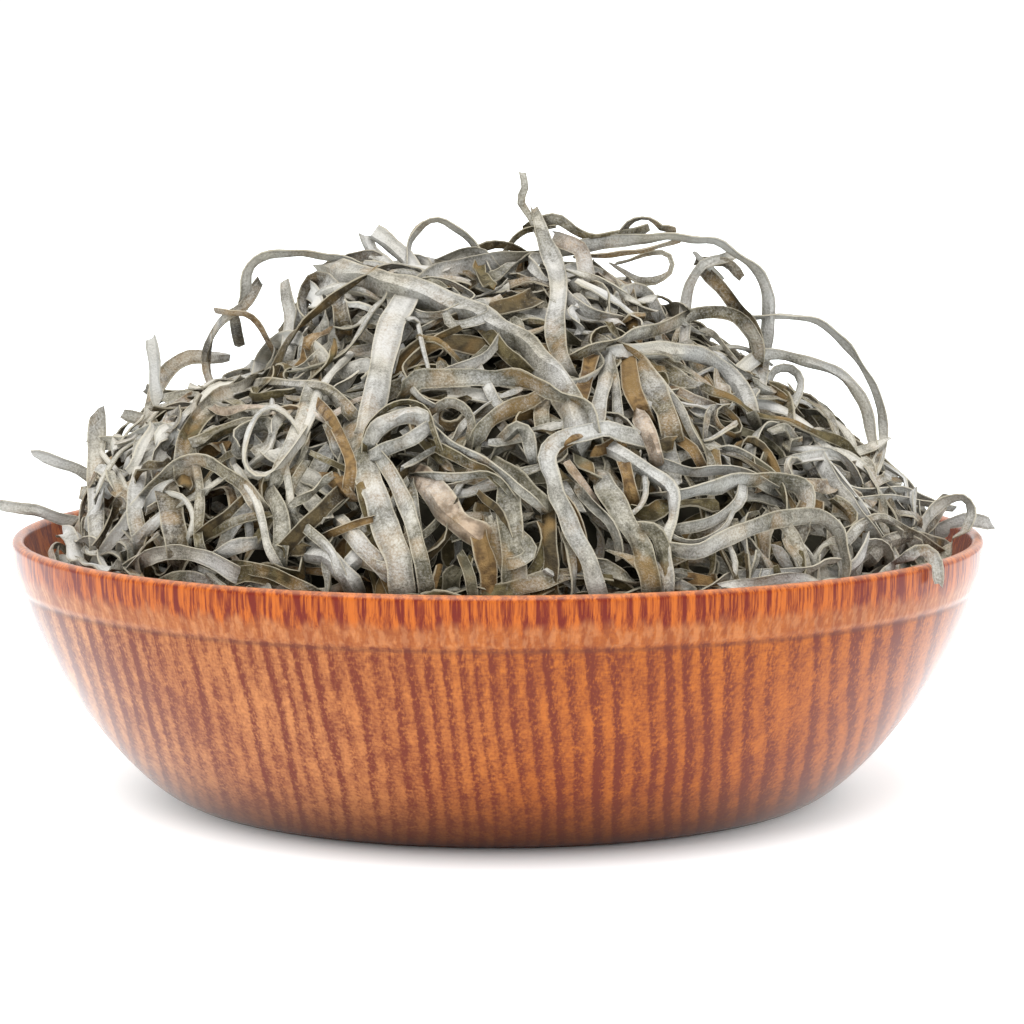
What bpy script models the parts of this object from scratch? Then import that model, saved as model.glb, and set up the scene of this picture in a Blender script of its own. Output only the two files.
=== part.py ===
"""Shredded dried kelp heaped in a turned wooden bowl, at real size.

Two solids: the bowl, turned from one outline, and the heap of kelp, which is a lumpy core
with long flat shreds fused onto it out to its uneven edge. Lengths in this file are in
millimetres and become metres where a mesh is made. +Z is up, the origin is the centre of the
bowl's flat base, and the side that faces -Y is the front.
"""
import math
import random

import bmesh
import bpy
import numpy as np

MM = 0.001

# The bowl: a wide lip band over a rounded body on a flat base.
RIM_RADIUS = 90.0
RIM_HEIGHT = 48.0
LIP_THICKNESS = 2.4
LIP_STEPS = 4
BAND_DEPTH = 9.4
BAND_FOOT_RADIUS = 88.9
BAND_STEP = 0.5
BODY_RADIUS = 88.1
BASE_RADIUS = 60.0
BODY_ROUNDNESS = 1.3
WALL = 3.5
CAVITY_RADIUS = BODY_RADIUS - WALL
FLOOR = 6.0
FLOOR_RADIUS = 50.0
BOWL_SIDES = 60
BODY_STEPS = 8
CAVITY_STEPS = 6
MERGE_DISTANCE = 0.01

# The heap: how far it reaches from its centre, which lies in the plane of the rim.
HEAP_X = 4.0
HEAP_RISE = 50.0
HEAP_REACH = 79.0
HEAP_REACH_RIGHT = -2.0
HEAP_POWER = 1.5
HEAP_POWER_RIGHT = -0.2
HILL_HEIGHT = 0.9

# Swells and hollows of the heap: heading, elevation, height, spread round and up, in degrees.
SWELLS = (
    (180.0, 56.0, 5.5, 20.0, 9.0),
    (180.0, 14.0, 1.5, 20.0, 7.0),
    (180.0, 31.0, -8.5, 26.0, 6.5),
    (0.0, 30.0, -3.0, 40.0, 16.0),
)

# The core under the shreds, which fills the bowl and stands clear of its wall near the rim.
CORE_DEPTH = 2.4
CORE_LUMP = 2.8
LUMPS_FROM = 0.2
CORE_CENTRE_HEIGHT = 38.0
CORE_REACH = 120.0
CORE_WALL_GAP = 2.2
CORE_HALVINGS = 30
MOAT_DEPTH = 5.0
CLEARANCE = 0.35

# The shreds: flat ribbons that narrow at their torn ends.
SHRED_THICKNESS = 0.7
END_NARROWING = 0.55
CURL_GAP = 1.5
KNOT_STEPS = 10
END_STEP = 3.6
CURVE_TOLERANCE = 0.9
LONGEST_STEP = 16.0
SUNK = -3.4
FILLER_STEP = 11.0
FILLER_COUNT = 55
FILLER_LENGTH = (33.0, 62.0)
FILLER_WIDTH = (2.4, 4.4)
FILLER_BEND_RADIUS = (13.0, 40.0)
FILLER_LEAN = 50
FILLER_TWIST = 50
FILLER_HEIGHT = (-0.5, 2.2)
FILLER_SCATTER = 0.3
FILLER_FOOT = 7.0
FILLER_LOWEST = 0.5
CROWDED_FROM = 24.0
CROWDED_SHARE = 5
SEED = 11

# The eye from which the shreds below are placed: across and up on the upright plane through
# the bowl's axis, seen from here.
EYE = np.array((2.6, -703.2, 132.6))
NEAREST = -95.0
FARTHEST = 45.0

# Broad shreds nearer the eye than this also lie on the far side, turned round the heap's axis.
BEHIND_FROM = -20.0
BEHIND_TURN = 163.0
BEHIND_TOP = 100.0
BEHIND_WIDTH = 3.0

# Each shred that stands out: width, turn in degrees from face-on along it, how far it stands
# off the heap, which ends stay loose ("a" first, "b" last; "m" lies in the middle plane of
# the heap), and points (across, up).
SHOWN = (
    # Along the top, from left to right.
    (5.0, (5, 0, 0, 8, 20), 4.0, "", (
        (-31.5, 96.3), (-22, 93.8), (-11, 90.6), (-2, 86.8), (5, 81.6), (10.5, 76), (13.5, 70),
        (14.5, 64))),
    (2.2, (20, 40, 65, 60, 25), 1.0, "", (
        (-46.8, 91.5), (-46.6, 95.5), (-44.5, 98.6), (-40, 99.3), (-35, 99.4), (-30, 98.6), (-26, 97))),
    (2.2, (10, 30, 20), 0.0, "a", ((-24.6, 102.8), (-23.4, 100), (-20.6, 97.4), (-19.2, 95))),
    (3.2, (10, 0, 20), 0.0, "a", ((-23, 103.6), (-20.4, 101.8), (-17.6, 99.2), (-15.2, 96.4), (-12, 94))),
    (1.8, (55, 45, 65, 65), 0.0, "", (
        (-17.2, 97.5), (-16.4, 101.8), (-14.2, 105), (-11.6, 106), (-9, 105.4), (-5.6, 102.6),
        (-3.2, 99.6), (-1, 96))),
    (1.4, (0, 20, 0), 0.0, "a", (
        (4.6, 114.4), (5, 111.6), (4.3, 109.3), (5.6, 106.8), (7.2, 104), (9, 100))),
    (3.2, (0, 0, 20, 10, 0), 3.5, "", (
        (7.8, 104.6), (9.2, 100.5), (11, 96.4), (11.4, 92), (10.6, 87.5), (11, 83), (12.8, 78))),
    (2.0, (40, 20, 50, 40), 0.0, "", (
        (7.5, 105), (11, 105.8), (14.5, 103.6), (18, 102.4), (22, 102.9), (25, 103.4))),
    (2.6, (20, 10, 45, 68, 65, 10, 0, 10), 0.0, "", (
        (12, 100), (18, 101.4), (24, 102), (30, 102.3), (36, 102.4), (40, 101.8), (43.4, 99.8),
        (46.4, 97.8), (48.8, 95), (49.8, 91.6), (50.1, 87), (49.6, 82), (48, 75))),
    (3.8, (30, 10, 20, 40), 2.0, "", ((-15.5, 92), (-11, 95.6), (-5, 97.4), (1, 98.4), (6, 98.8))),
    (2.8, (10, 20), 2.0, "", ((39.4, 95.2), (42, 92.4), (45, 88.8), (47.5, 84.8), (48.5, 80))),
    (2.0, (20, 10), 1.0, "", (
        (41, 98.2), (38.2, 97.2), (36, 94.2), (35.2, 91), (34.8, 87.5), (34.6, 82))),
    (2.4, (60, 45, 20, 10, 30), 5.0, "", (
        (13.5, 80.5), (18, 82.4), (24, 84.2), (30, 85.8), (36, 88.2), (41, 88.8), (45, 87.4), (47.6, 83.6),
        (48.6, 79))),
    (1.8, (50, 60, 55, 40, 20, 20), 0.0, "", (
        (46.5, 87.4), (51.5, 88.4), (55, 88), (58.5, 87.2), (62, 85.2), (65, 82.4), (67.5, 79.3),
        (69.5, 75.5), (71, 71), (71.6, 67), (71.3, 62), (69, 57))),
    (2.2, (30, 20, 20, 30, 40, 50), 2.0, "", (
        (44.5, 77.5), (48, 80.2), (52, 80.7), (56, 79.8), (60, 78.7), (64, 76.6), (67, 73.6), (68.4, 70.5),
        (69.4, 67), (70.2, 62))),
    (2.2, (30, 20, 40), 1.5, "", ((20.5, 88), (22.5, 91.2), (25.5, 92.8), (28.4, 91.4), (30, 88))),
    (3.0, (20, 10, 20), 3.0, "", (
        (20, 80.5), (26, 81.2), (32, 81.6), (37, 81), (41.5, 78.6), (45, 75), (47, 70))),
    (3.4, (20, 40), 0.0, "a", ((23.6, 91), (19.5, 94.5), (15.5, 96), (12, 95.5))),
    # The left shoulder.
    (3.0, (10, 20, 20), 2.0, "", (
        (-36.2, 88.5), (-35.8, 92.4), (-33.6, 95), (-31, 94.2), (-29.3, 91.2), (-28.5, 87.4))),
    (1.9, (15, 45, 55, 45), 0.0, "a", (
        (-43.7, 94.4), (-45.4, 91.8), (-47.4, 89.8), (-50, 88), (-52.4, 85.4), (-53.6, 81.5),
        (-53.6, 77.4), (-51.5, 73))),
    (2.6, (10, 20, 35), 0.0, "", (
        (-52.6, 80.4), (-57.5, 80.3), (-61, 78), (-63.6, 74.5), (-64.5, 70), (-64.3, 65), (-65, 60))),
    (2.6, (10, 20), 0.0, "am", ((-64.4, 83.8), (-64, 80), (-63.3, 75))),
    (2.6, (30, 20, 30), 1.5, "", (
        (-44.4, 76.5), (-43.2, 80.8), (-40, 83.6), (-36, 83.4), (-32.6, 80.6), (-31, 77))),
    (1.8, (30, 30), 2.5, "", ((-28.6, 80), (-31.4, 77), (-33.4, 73.6), (-35, 69.6), (-36.6, 65))),
    (2.8, (10, 30), 3.0, "", ((-34, 75.6), (-36, 70.6), (-37.8, 65), (-40, 60.5), (-42, 56.5))),
    (2.6, (25, 20, 10), 3.5, "", (
        (-52, 74.2), (-45, 74.6), (-38, 74.7), (-32.5, 74), (-29, 71.6), (-26.4, 69))),
    (4.0, (10, 20, 10), 2.0, "", ((-46.5, 74), (-51, 72.4), (-55, 69), (-57.2, 64.4), (-57.6, 59))),
    (2.2, (10, 20), 3.0, "", ((-33.6, 72), (-30.6, 68.4), (-28.4, 64), (-27.4, 60), (-27.8, 56))),
    (1.8, (64, 68, 64), 4.5, "", (
        (-37, 65.6), (-39, 69.2), (-41.4, 71), (-44, 69.9), (-46, 66.8), (-47, 63), (-46.4, 59.8),
        (-44.2, 58.4), (-41.4, 59.6), (-38.5, 62.8), (-36.4, 66.4))),
    (2.2, (20, 20), 2.0, "", ((-53, 74), (-57.4, 72.6), (-60.8, 69.6), (-62, 66))),
    (2.6, (20, 30), 1.0, "", ((-73, 64.6), (-69, 65), (-66, 66.4), (-62.5, 67), (-58.6, 65))),
    # The left end.
    (2.8, (10, 10), 2.0, "", ((-66.6, 63), (-67.2, 57), (-67.5, 51), (-66.6, 46))),
    (3.2, (0, 15, 10), 1.0, "a", ((-74.6, 70.6), (-74.7, 65), (-74.9, 58.5), (-74.9, 52), (-74.5, 45))),
    (2.3, (20, 20), 0.0, "am", ((-86.5, 62.2), (-81, 60.6), (-76, 58.4), (-70, 53), (-64, 47))),
    (2.5, (20, 20), 0.0, "am", (
        (-93.5, 52.4), (-88, 51.9), (-84, 50.9), (-79, 49.4), (-70, 48), (-62, 47))),
    (2.2, (20, 20), 2.5, "", ((-75.5, 40.5), (-72, 45.6), (-69, 49.8), (-66, 53.6))),
    (4.2, (0, 20), 2.5, "", ((-62, 56), (-60.8, 51.6), (-60, 47), (-59.6, 42))),
    (2.6, (30, 40, 20), 3.0, "", (
        (-65, 55.4), (-61.6, 58.6), (-57.8, 60.8), (-54.2, 61), (-50.4, 59), (-47, 56.3), (-44, 52.6))),
    (2.8, (50, 20, 30, 20), 3.0, "", (
        (-69.4, 40), (-65.6, 43.2), (-61.6, 44), (-57, 43.8), (-52, 41.8), (-48, 39.6))),
    (2.6, (20, 20), 2.0, "", ((-40, 44.6), (-36.6, 48.4), (-33, 51.4), (-30.2, 54.4))),
    (2.8, (20, 20), 2.0, "", ((-42.4, 55), (-40.6, 51), (-40.4, 46.4), (-41, 42))),
    # The front, from left to right.
    (4.4, (35, 10, 0, 15), 4.0, "", (
        (-17.5, 90.6), (-19.8, 86.4), (-21.2, 81), (-22.2, 75.6), (-23, 71), (-24.4, 66))),
    (4.4, (10, 0, 0, 10), 3.0, "", (
        (-26.4, 68), (-26, 63), (-24.4, 58), (-22.4, 53), (-20.2, 47), (-18.3, 41), (-17.5, 35))),
    (2.8, (50, 20, 0), 3.5, "", (
        (-22.8, 63), (-19.6, 58), (-17.2, 52.5), (-15.4, 47), (-14, 41.5), (-12.8, 35))),
    (3.0, (0, 0, 20), 5.0, "", ((-24.6, 63), (-22.6, 66.6), (-18.6, 69.2), (-14.6, 69.2), (-12.4, 66.8))),
    (3.2, (10, 0, 0, 30, 55, 45), 5.0, "", (
        (-16.3, 74), (-15.4, 76), (-9, 76.6), (-2, 76.5), (4, 76.2), (9, 74.4), (13.5, 72.4), (17, 70.2),
        (18, 66))),
    (2.8, (10, 10), 3.0, "", ((-4.3, 64.6), (-2, 68.2), (2, 70.6), (6, 72.2), (8.6, 73.8))),
    (2.8, (10, 20), 3.0, "", ((20.4, 81), (19.8, 76.6), (18.8, 71.8), (17.6, 67))),
    (3.0, (0, 10), 3.5, "", ((24.4, 78.6), (25, 74.4), (27, 70))),
    (4.0, (0, 10), 4.0, "", ((26, 78.8), (28.8, 74.8), (31, 71), (32.4, 65.6))),
    (2.2, (20, 30, 20), 3.5, "", ((31, 60.6), (36, 59.3), (41, 59.7), (46, 58.7), (51, 56.2))),
    (2.8, (0, 10, 55, 20, 0), 4.0, "", (
        (21.6, 62.8), (27, 59.5), (31.6, 55.6), (32.4, 50.5), (30.6, 46), (31, 41), (31.3, 35))),
    (2.6, (50, 10, 0), 3.8, "", ((25.6, 48), (29, 47.6), (30.6, 44), (31, 40), (31.3, 34))),
    (3.6, (10, 0), 3.0, "", ((19.6, 57), (23, 51), (26, 46), (27.8, 41), (28.6, 35))),
    (3.0, (60, 30, 10, 40, 20, 0, 0), 4.0, "", (
        (26, 65), (20.5, 67), (15, 66), (10.8, 64.3), (9, 61.3), (10.4, 57), (12.6, 52), (14.8, 46.5),
        (17, 41.5), (19, 35))),
    (4.2, (5, 0), 1.5, "", ((2.1, 57), (2.2, 49.5), (2.8, 43), (3.6, 35))),
    (2.6, (10, 20), 1.0, "", ((9.4, 50), (9.5, 45), (10, 38), (10.2, 34))),
    (5.0, (10, 0), 2.5, "", ((-13.6, 57), (-9.8, 52.4), (-6, 48.6), (-2, 46))),
    (3.0, (10, 0), 2.0, "", ((-3.4, 47), (-2.4, 42.5), (-1.6, 37), (-1.4, 33))),
    (3.2, (10, 20), 2.0, "", ((-28.6, 48.4), (-25.4, 45), (-22.4, 42.2), (-19.6, 38.6))),
    # The right end.
    (1.9, (20, 30), 3.0, "", ((32.6, 48), (38, 49.2), (42, 51), (44.6, 53.6), (45.6, 57))),
    (3.0, (50, 30, 10, 20, 55, 60), 4.5, "", (
        (31, 45), (37, 44.4), (42, 46.2), (48, 49), (54, 50.4), (60, 50.5), (63.4, 47.6), (65, 44),
        (65.4, 40), (65, 36))),
    (3.0, (60, 50, 30, 20, 40), 4.5, "", (
        (32, 54.6), (38, 55.4), (43, 57), (48, 57.4), (52, 57.5), (56, 56.4), (57.8, 53.5), (57.2, 49.6))),
    (2.2, (20, 40), 2.0, "a", ((73.2, 65.4), (69.6, 63.6), (65, 62), (60, 61.6), (54, 60.6))),
    (2.8, (10, 30), 3.0, "", ((60, 61.6), (63, 56.5), (66, 52.4), (69, 48))),
    (2.0, (40, 10, 30), 4.0, "", (
        (65, 46), (68, 48.8), (71.4, 50.2), (74.6, 48.8), (78, 46.6), (82, 44))),
    (2.8, (20, 20), 2.0, "", ((70, 43), (74, 46.2), (78, 46.4), (82, 45))),
    (2.3, (10, 40, 60, 30, 10), 3.0, "", (
        (77.6, 46.6), (80.4, 51), (82.6, 53.4), (85, 54.6), (87.2, 54.1), (88.2, 51.3), (87, 47.8),
        (84.6, 44.6), (81, 42))),
    (2.6, (10, 20), 0.0, "bm", ((82, 47.6), (86, 49.8), (89, 49.9), (92.4, 49.4))),
    (2.6, (30, 10), 0.0, "br", ((75, 41), (78, 43.9), (80.4, 43.8), (81.6, 41), (82.3, 37.4))),
)


def colour_material(name, colour, roughness):
    material = bpy.data.materials.new(name)
    material.use_nodes = True
    shader = material.node_tree.nodes["Principled BSDF"]
    shader.inputs["Base Color"].default_value = (*colour, 1.0)
    shader.inputs["Roughness"].default_value = roughness
    shader.inputs["Metallic"].default_value = 0.0
    return material


def add_object(name, bm, collection):
    """Turns a bmesh in millimetres into an object in metres, with its faces pointing out."""
    bmesh.ops.recalc_face_normals(bm, faces=bm.faces)
    bmesh.ops.scale(bm, vec=(MM, MM, MM), verts=bm.verts)
    mesh = bpy.data.meshes.new(name)
    bm.to_mesh(mesh)
    bm.free()
    piece = bpy.data.objects.new(name, mesh)
    collection.objects.link(piece)
    return piece


# ---- The bowl -------------------------------------------------------------------------------

def rounded(top, foot, steps):
    """Points down a superellipse from top (radius, height) to foot, without the foot itself."""
    points = []
    for i in range(steps):
        angle = 0.5 * math.pi * i / steps
        across = math.cos(angle) ** (2 / BODY_ROUNDNESS)
        down = math.sin(angle) ** (2 / BODY_ROUNDNESS)
        points.append((foot[0] + (top[0] - foot[0]) * across, top[1] + (foot[1] - top[1]) * down))
    return points


def bowl_outline():
    """The turned outline, from the middle of the floor over the lip to the middle of the base."""
    band_foot = RIM_HEIGHT - BAND_DEPTH
    cavity_top = (CAVITY_RADIUS, band_foot)
    cavity = rounded(cavity_top, (FLOOR_RADIUS, FLOOR), CAVITY_STEPS)
    body = rounded((BODY_RADIUS, band_foot), (BASE_RADIUS, 0.0), BODY_STEPS)
    lip = []
    for i in range(LIP_STEPS + 1):
        angle = math.pi * (1 - i / LIP_STEPS)
        radius = RIM_RADIUS + LIP_THICKNESS / 2 * (math.cos(angle) - 1)
        lip.append((radius, RIM_HEIGHT + LIP_THICKNESS / 2 * (math.sin(angle) - 1)))
    foot = [(BAND_FOOT_RADIUS, band_foot + BAND_STEP)]
    floor = [(0.0, FLOOR), (FLOOR_RADIUS, FLOOR)]
    base = [(BASE_RADIUS, 0.0), (0.0, 0.0)]
    return floor + cavity[::-1] + lip + foot + body + base


def turned(outline, sides):
    """Spins an outline (radius, height) that starts and ends on the axis into a closed bmesh."""
    bm = bmesh.new()
    verts = [bm.verts.new((radius, 0.0, height)) for radius, height in outline]
    edges = [bm.edges.new(pair) for pair in zip(verts, verts[1:])]
    bmesh.ops.spin(bm, geom=verts + edges, cent=(0, 0, 0), axis=(0, 0, 1), angle=2 * math.pi,
                   steps=sides, use_merge=True, use_duplicate=False)
    bmesh.ops.remove_doubles(bm, verts=bm.verts, dist=MERGE_DISTANCE)
    return bm


def grown(outline, gap):
    """The outline moved outwards by gap, with its two ends kept on the axis."""
    points = [np.array(p) for p in outline]
    moved = []
    for i, point in enumerate(points):
        before = points[max(i - 1, 0)]
        after = points[min(i + 1, len(points) - 1)]
        along = (after - before) / np.linalg.norm(after - before)
        step = gap * np.array((-along[1], along[0]))
        if point[0] == 0.0:
            step[0] = 0.0
        moved.append(tuple(point + step))
    return moved


# ---- The heap's form ------------------------------------------------------------------------

def heap_radius(towards):
    """How far the heap reaches from its centre along each unit direction (rows of x, y, z)."""
    flat = np.hypot(towards[:, 0], towards[:, 1]) + 1e-6
    azimuth = np.arctan2(towards[:, 1], towards[:, 0])
    climb = np.clip(towards[:, 2], 0.0, 1.0)
    rightness = np.cos(azimuth)
    power = HEAP_POWER + HEAP_POWER_RIGHT * rightness * flat
    reach = HEAP_REACH + HEAP_REACH_RIGHT * rightness
    radius = ((flat / reach) ** power + (climb / HEAP_RISE) ** power) ** (-1.0 / power)
    upward = np.degrees(np.arcsin(climb))
    for heading, elevation, height, spread, rise in SWELLS:
        sideways = (np.degrees(azimuth) - heading + 180.0) % 360.0 - 180.0
        sideways *= math.cos(math.radians(elevation)) / spread
        radius += height * np.exp(-0.5 * sideways ** 2 - 0.5 * ((upward - elevation) / rise) ** 2)
    # Low hills: three round the heap that change with height, and five round its foot.
    hills = np.sin(3 * azimuth + 0.7) * np.sin(4 * climb + 0.4) + np.sin(5 * azimuth + 2.1) * flat
    return radius + HILL_HEIGHT * hills * np.clip(climb * 4, 0.0, 1.0)


def heap_gap(points):
    """How far points (rows) lie outside the heap's surface; below the rim it goes straight down."""
    rel = points - np.array((HEAP_X, 0.0, RIM_HEIGHT))
    rel[:, 2] = np.maximum(rel[:, 2], 0.0)
    distance = np.linalg.norm(rel, axis=1)
    return distance - heap_radius(rel / np.maximum(distance, 1e-6)[:, None])


def heap_normal(points):
    """Which way the heap's surface faces near each point."""
    step = 0.5
    slopes = [
        heap_gap(points + step * axis) - heap_gap(points - step * axis) for axis in np.eye(3)
    ]
    normal = np.stack(slopes, axis=1)
    return normal / np.linalg.norm(normal, axis=1)[:, None]


def cavity_radius(height):
    """The bowl's inner radius at a height above its floor."""
    top = RIM_HEIGHT - BAND_DEPTH
    if height >= top:
        return CAVITY_RADIUS
    down = ((top - height) / (top - FLOOR)) ** BODY_ROUNDNESS
    across = max(1.0 - down, 0.0) ** (1 / BODY_ROUNDNESS)
    return FLOOR_RADIUS + (CAVITY_RADIUS - FLOOR_RADIUS) * across


def core_distance(towards):
    """How far the core reaches from its own centre: the heap above, the bowl's cavity below."""
    centre = np.array((HEAP_X, 0.0, CORE_CENTRE_HEIGHT))
    near, far = 0.0, CORE_REACH
    for _ in range(CORE_HALVINGS):
        middle = 0.5 * (near + far)
        point = centre + towards * middle
        across = math.hypot(point[0], point[1])
        height = point[2]
        inside = height > FLOOR + CLEARANCE
        if height < RIM_HEIGHT - MOAT_DEPTH:
            inside = inside and across < cavity_radius(height) - CORE_WALL_GAP
        else:
            inside = inside and heap_gap(point[None, :])[0] < -CORE_DEPTH
        near, far = (middle, far) if inside else (near, middle)
    return near


def make_core(collection):
    """A closed lump that fills the bowl and rises to just under the shreds."""
    bm = bmesh.new()
    bmesh.ops.create_icosphere(bm, subdivisions=4, radius=1.0)
    centre = np.array((HEAP_X, 0.0, CORE_CENTRE_HEIGHT))
    rng = random.Random(SEED)
    for vert in bm.verts:
        towards = np.array(vert.co)
        distance = core_distance(towards)
        lump = rng.uniform(-CORE_LUMP, CORE_LUMP)
        if towards[2] > LUMPS_FROM:
            distance += lump
        vert.co = centre + towards * distance
    return add_object("kelp", bm, collection)


# ---- Shreds ---------------------------------------------------------------------------------

def run_along(line):
    """Distance from the first point of a line to each of its points."""
    return np.r_[0.0, np.cumsum(np.linalg.norm(np.diff(line, axis=0), axis=1))]


def through(knots):
    """Points on the smooth curve through the knots (rows), closer together where it bends."""
    knots = np.asarray(knots, float)
    ends = np.vstack((2 * knots[0] - knots[1], knots, 2 * knots[-1] - knots[-2]))
    dense = []
    for a, b, c, d in zip(ends, ends[1:], ends[2:], ends[3:]):
        for t in np.arange(KNOT_STEPS) / KNOT_STEPS:
            curve = 2 * b + (c - a) * t + (2 * a - 5 * b + 4 * c - d) * t ** 2
            dense.append(0.5 * (curve + (3 * b - a - 3 * c + d) * t ** 3))
    dense.append(knots[-1])
    dense = np.array(dense)
    run = run_along(dense)
    first = int(np.searchsorted(run, END_STEP))
    last = int(np.searchsorted(run, run[-1] - END_STEP))
    kept = [0, first]
    for i in range(first + 1, last):
        span = dense[i] - dense[kept[-1]]
        length = np.linalg.norm(span)
        between = dense[kept[-1]:i] - dense[kept[-1]]
        bulge = np.abs(between[:, 0] * span[1] - between[:, 1] * span[0]).max() / length
        if bulge > CURVE_TOLERANCE or length > LONGEST_STEP:
            kept.append(i)
    if run[last] - run[kept[-1]] < END_STEP and kept[-1] != first:
        kept.pop()
    return dense[kept + [last, len(dense) - 1]]


def meeting_depth(across, up):
    """Where, along Y, each line of sight first meets the heap, or else passes nearest to it."""
    depths = np.arange(NEAREST, FARTHEST)
    found = []
    for x, z in zip(across, up):
        share = (depths - EYE[1]) / -EYE[1]
        line = EYE + share[:, None] * (np.array((x, 0.0, z)) - EYE)
        gap = heap_gap(line)
        inside = np.flatnonzero(gap < 0.0)
        found.append(depths[inside[0] if len(inside) else gap.argmin()])
    return np.array(found)


def eased(values, passes):
    """The values with each one drawn towards its neighbours, the ends kept free."""
    for _ in range(passes):
        padded = np.r_[values[:1], values, values[-1:]]
        values = (padded[:-2] + 2 * padded[1:-1] + padded[2:]) / 4
    return values


def shown_shred(width, turns, stand_off, loose, knots):
    """Centre line and width direction of a shred that is placed as the eye sees it."""
    flat = through(knots)
    run = run_along(flat)
    run /= run[-1]
    lift = np.full(len(flat), float(stand_off))
    lift[0] = stand_off if "a" in loose else SUNK
    lift[-1] = stand_off if "b" in loose else SUNK
    depth = eased(meeting_depth(flat[:, 0], flat[:, 1]), 2) - lift
    if "m" in loose:
        depth = np.zeros(len(flat))
    share = (depth - EYE[1]) / -EYE[1]
    plane = np.stack((flat[:, 0], np.zeros(len(flat)), flat[:, 1]), axis=1)
    line = EYE + share[:, None] * (plane - EYE)
    sight = (line - EYE) / np.linalg.norm(line - EYE, axis=1)[:, None]
    along = directions(line)
    face_on = np.cross(along, sight)
    face_on /= np.linalg.norm(face_on, axis=1)[:, None]
    turn = np.radians(np.interp(run, np.linspace(0.0, 1.0, len(turns)), turns))[:, None]
    return line, np.cos(turn) * face_on + np.sin(turn) * np.cross(along, face_on), width


def directions(line):
    along = np.gradient(line, axis=0)
    return along / np.linalg.norm(along, axis=1)[:, None]


def turned_behind(line, across):
    """The same shred on the far side of the heap, lying as far off its surface as before."""
    sine, cosine = math.sin(math.radians(BEHIND_TURN)), math.cos(math.radians(BEHIND_TURN))
    turn = np.array(((cosine, sine, 0.0), (-sine, cosine, 0.0), (0.0, 0.0, 1.0)))
    axis = np.array((HEAP_X, 0.0, 0.0))
    moved = (line - axis) @ turn + axis
    change = heap_gap(line) - heap_gap(moved)
    return moved + change[:, None] * heap_normal(moved), across @ turn


def filler_shred(rng, index):
    """Centre line and width direction of a shred that wanders over the heap's surface."""
    golden = math.pi * (3.0 - math.sqrt(5.0))
    azimuth = golden * index + rng.uniform(-FILLER_SCATTER, FILLER_SCATTER)
    climb = (index + 0.5) / FILLER_COUNT
    flat = math.sqrt(1.0 - climb ** 2)
    towards = np.array(((flat * math.cos(azimuth), flat * math.sin(azimuth), climb),))
    point = np.array((HEAP_X, 0.0, RIM_HEIGHT)) + towards * heap_radius(towards)[:, None]
    heading = rng.uniform(0.0, 2 * math.pi)
    along = np.array(((math.cos(heading), math.sin(heading), rng.uniform(-FILLER_SCATTER, FILLER_SCATTER)),))
    length = rng.uniform(*FILLER_LENGTH)
    bend = rng.choice((-1, 1)) / rng.uniform(*FILLER_BEND_RADIUS)
    lean = math.radians(rng.uniform(-FILLER_LEAN, FILLER_LEAN))
    twist = math.radians(rng.uniform(-FILLER_TWIST, FILLER_TWIST)) / length
    height = rng.uniform(*FILLER_HEIGHT)
    line, across = [], []
    steps = int(length / FILLER_STEP)
    for i in range(steps + 1):
        out = heap_normal(point)
        if point[0, 2] < RIM_HEIGHT + FILLER_FOOT:
            along[0, 2] = abs(along[0, 2])
        along -= np.sum(along * out, axis=1)[:, None] * out
        along /= np.linalg.norm(along, axis=1)[:, None]
        side = np.cross(out, along)
        turn = lean + twist * i * FILLER_STEP
        sunk = SUNK if i in (0, steps) else height
        line.append(point[0] + sunk * out[0])
        across.append(math.cos(turn) * side[0] + math.sin(turn) * out[0])
        along = along + side * math.sin(turn) * bend * FILLER_STEP
        point = point + along * FILLER_STEP
        point = point - heap_gap(point)[:, None] * heap_normal(point)
        if point[0, 2] < RIM_HEIGHT + FILLER_LOWEST:
            break
    return np.array(line), np.array(across), rng.uniform(*FILLER_WIDTH)


def crosses_itself(line, width):
    for i in range(len(line)):
        far = line[i + 3:]
        if len(far) and np.linalg.norm(far - line[i], axis=1).min() < width + CURL_GAP:
            return True
    return False


def ribbon(line, across, width):
    """A closed flat strip along the line; both faces are split into triangles alike."""
    along = directions(line)
    across = across - np.sum(across * along, axis=1)[:, None] * along
    across /= np.linalg.norm(across, axis=1)[:, None]
    upward = np.cross(along, across)
    half = np.full(len(line), width / 2)
    half[[0, -1]] *= END_NARROWING
    bm = bmesh.new()
    rings = []
    for point, side, up, reach in zip(line, across, upward, half):
        corners = []
        for s, t in ((-1, -1), (1, -1), (1, 1), (-1, 1)):
            corners.append(bm.verts.new(point + s * reach * side + t * SHRED_THICKNESS / 2 * up))
        rings.append(corners)
    for a, b in zip(rings, rings[1:]):
        bm.faces.new((a[0], a[1], b[1]))
        bm.faces.new((a[0], b[1], b[0]))
        bm.faces.new((a[3], b[2], a[2]))
        bm.faces.new((a[3], b[3], b[2]))
        for i, j in ((1, 2), (3, 0)):
            bm.faces.new((a[i], a[j], b[j]))
            bm.faces.new((a[i], b[j], b[i]))
    bm.faces.new(rings[0])
    bm.faces.new(rings[-1][::-1])
    return bm


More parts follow.
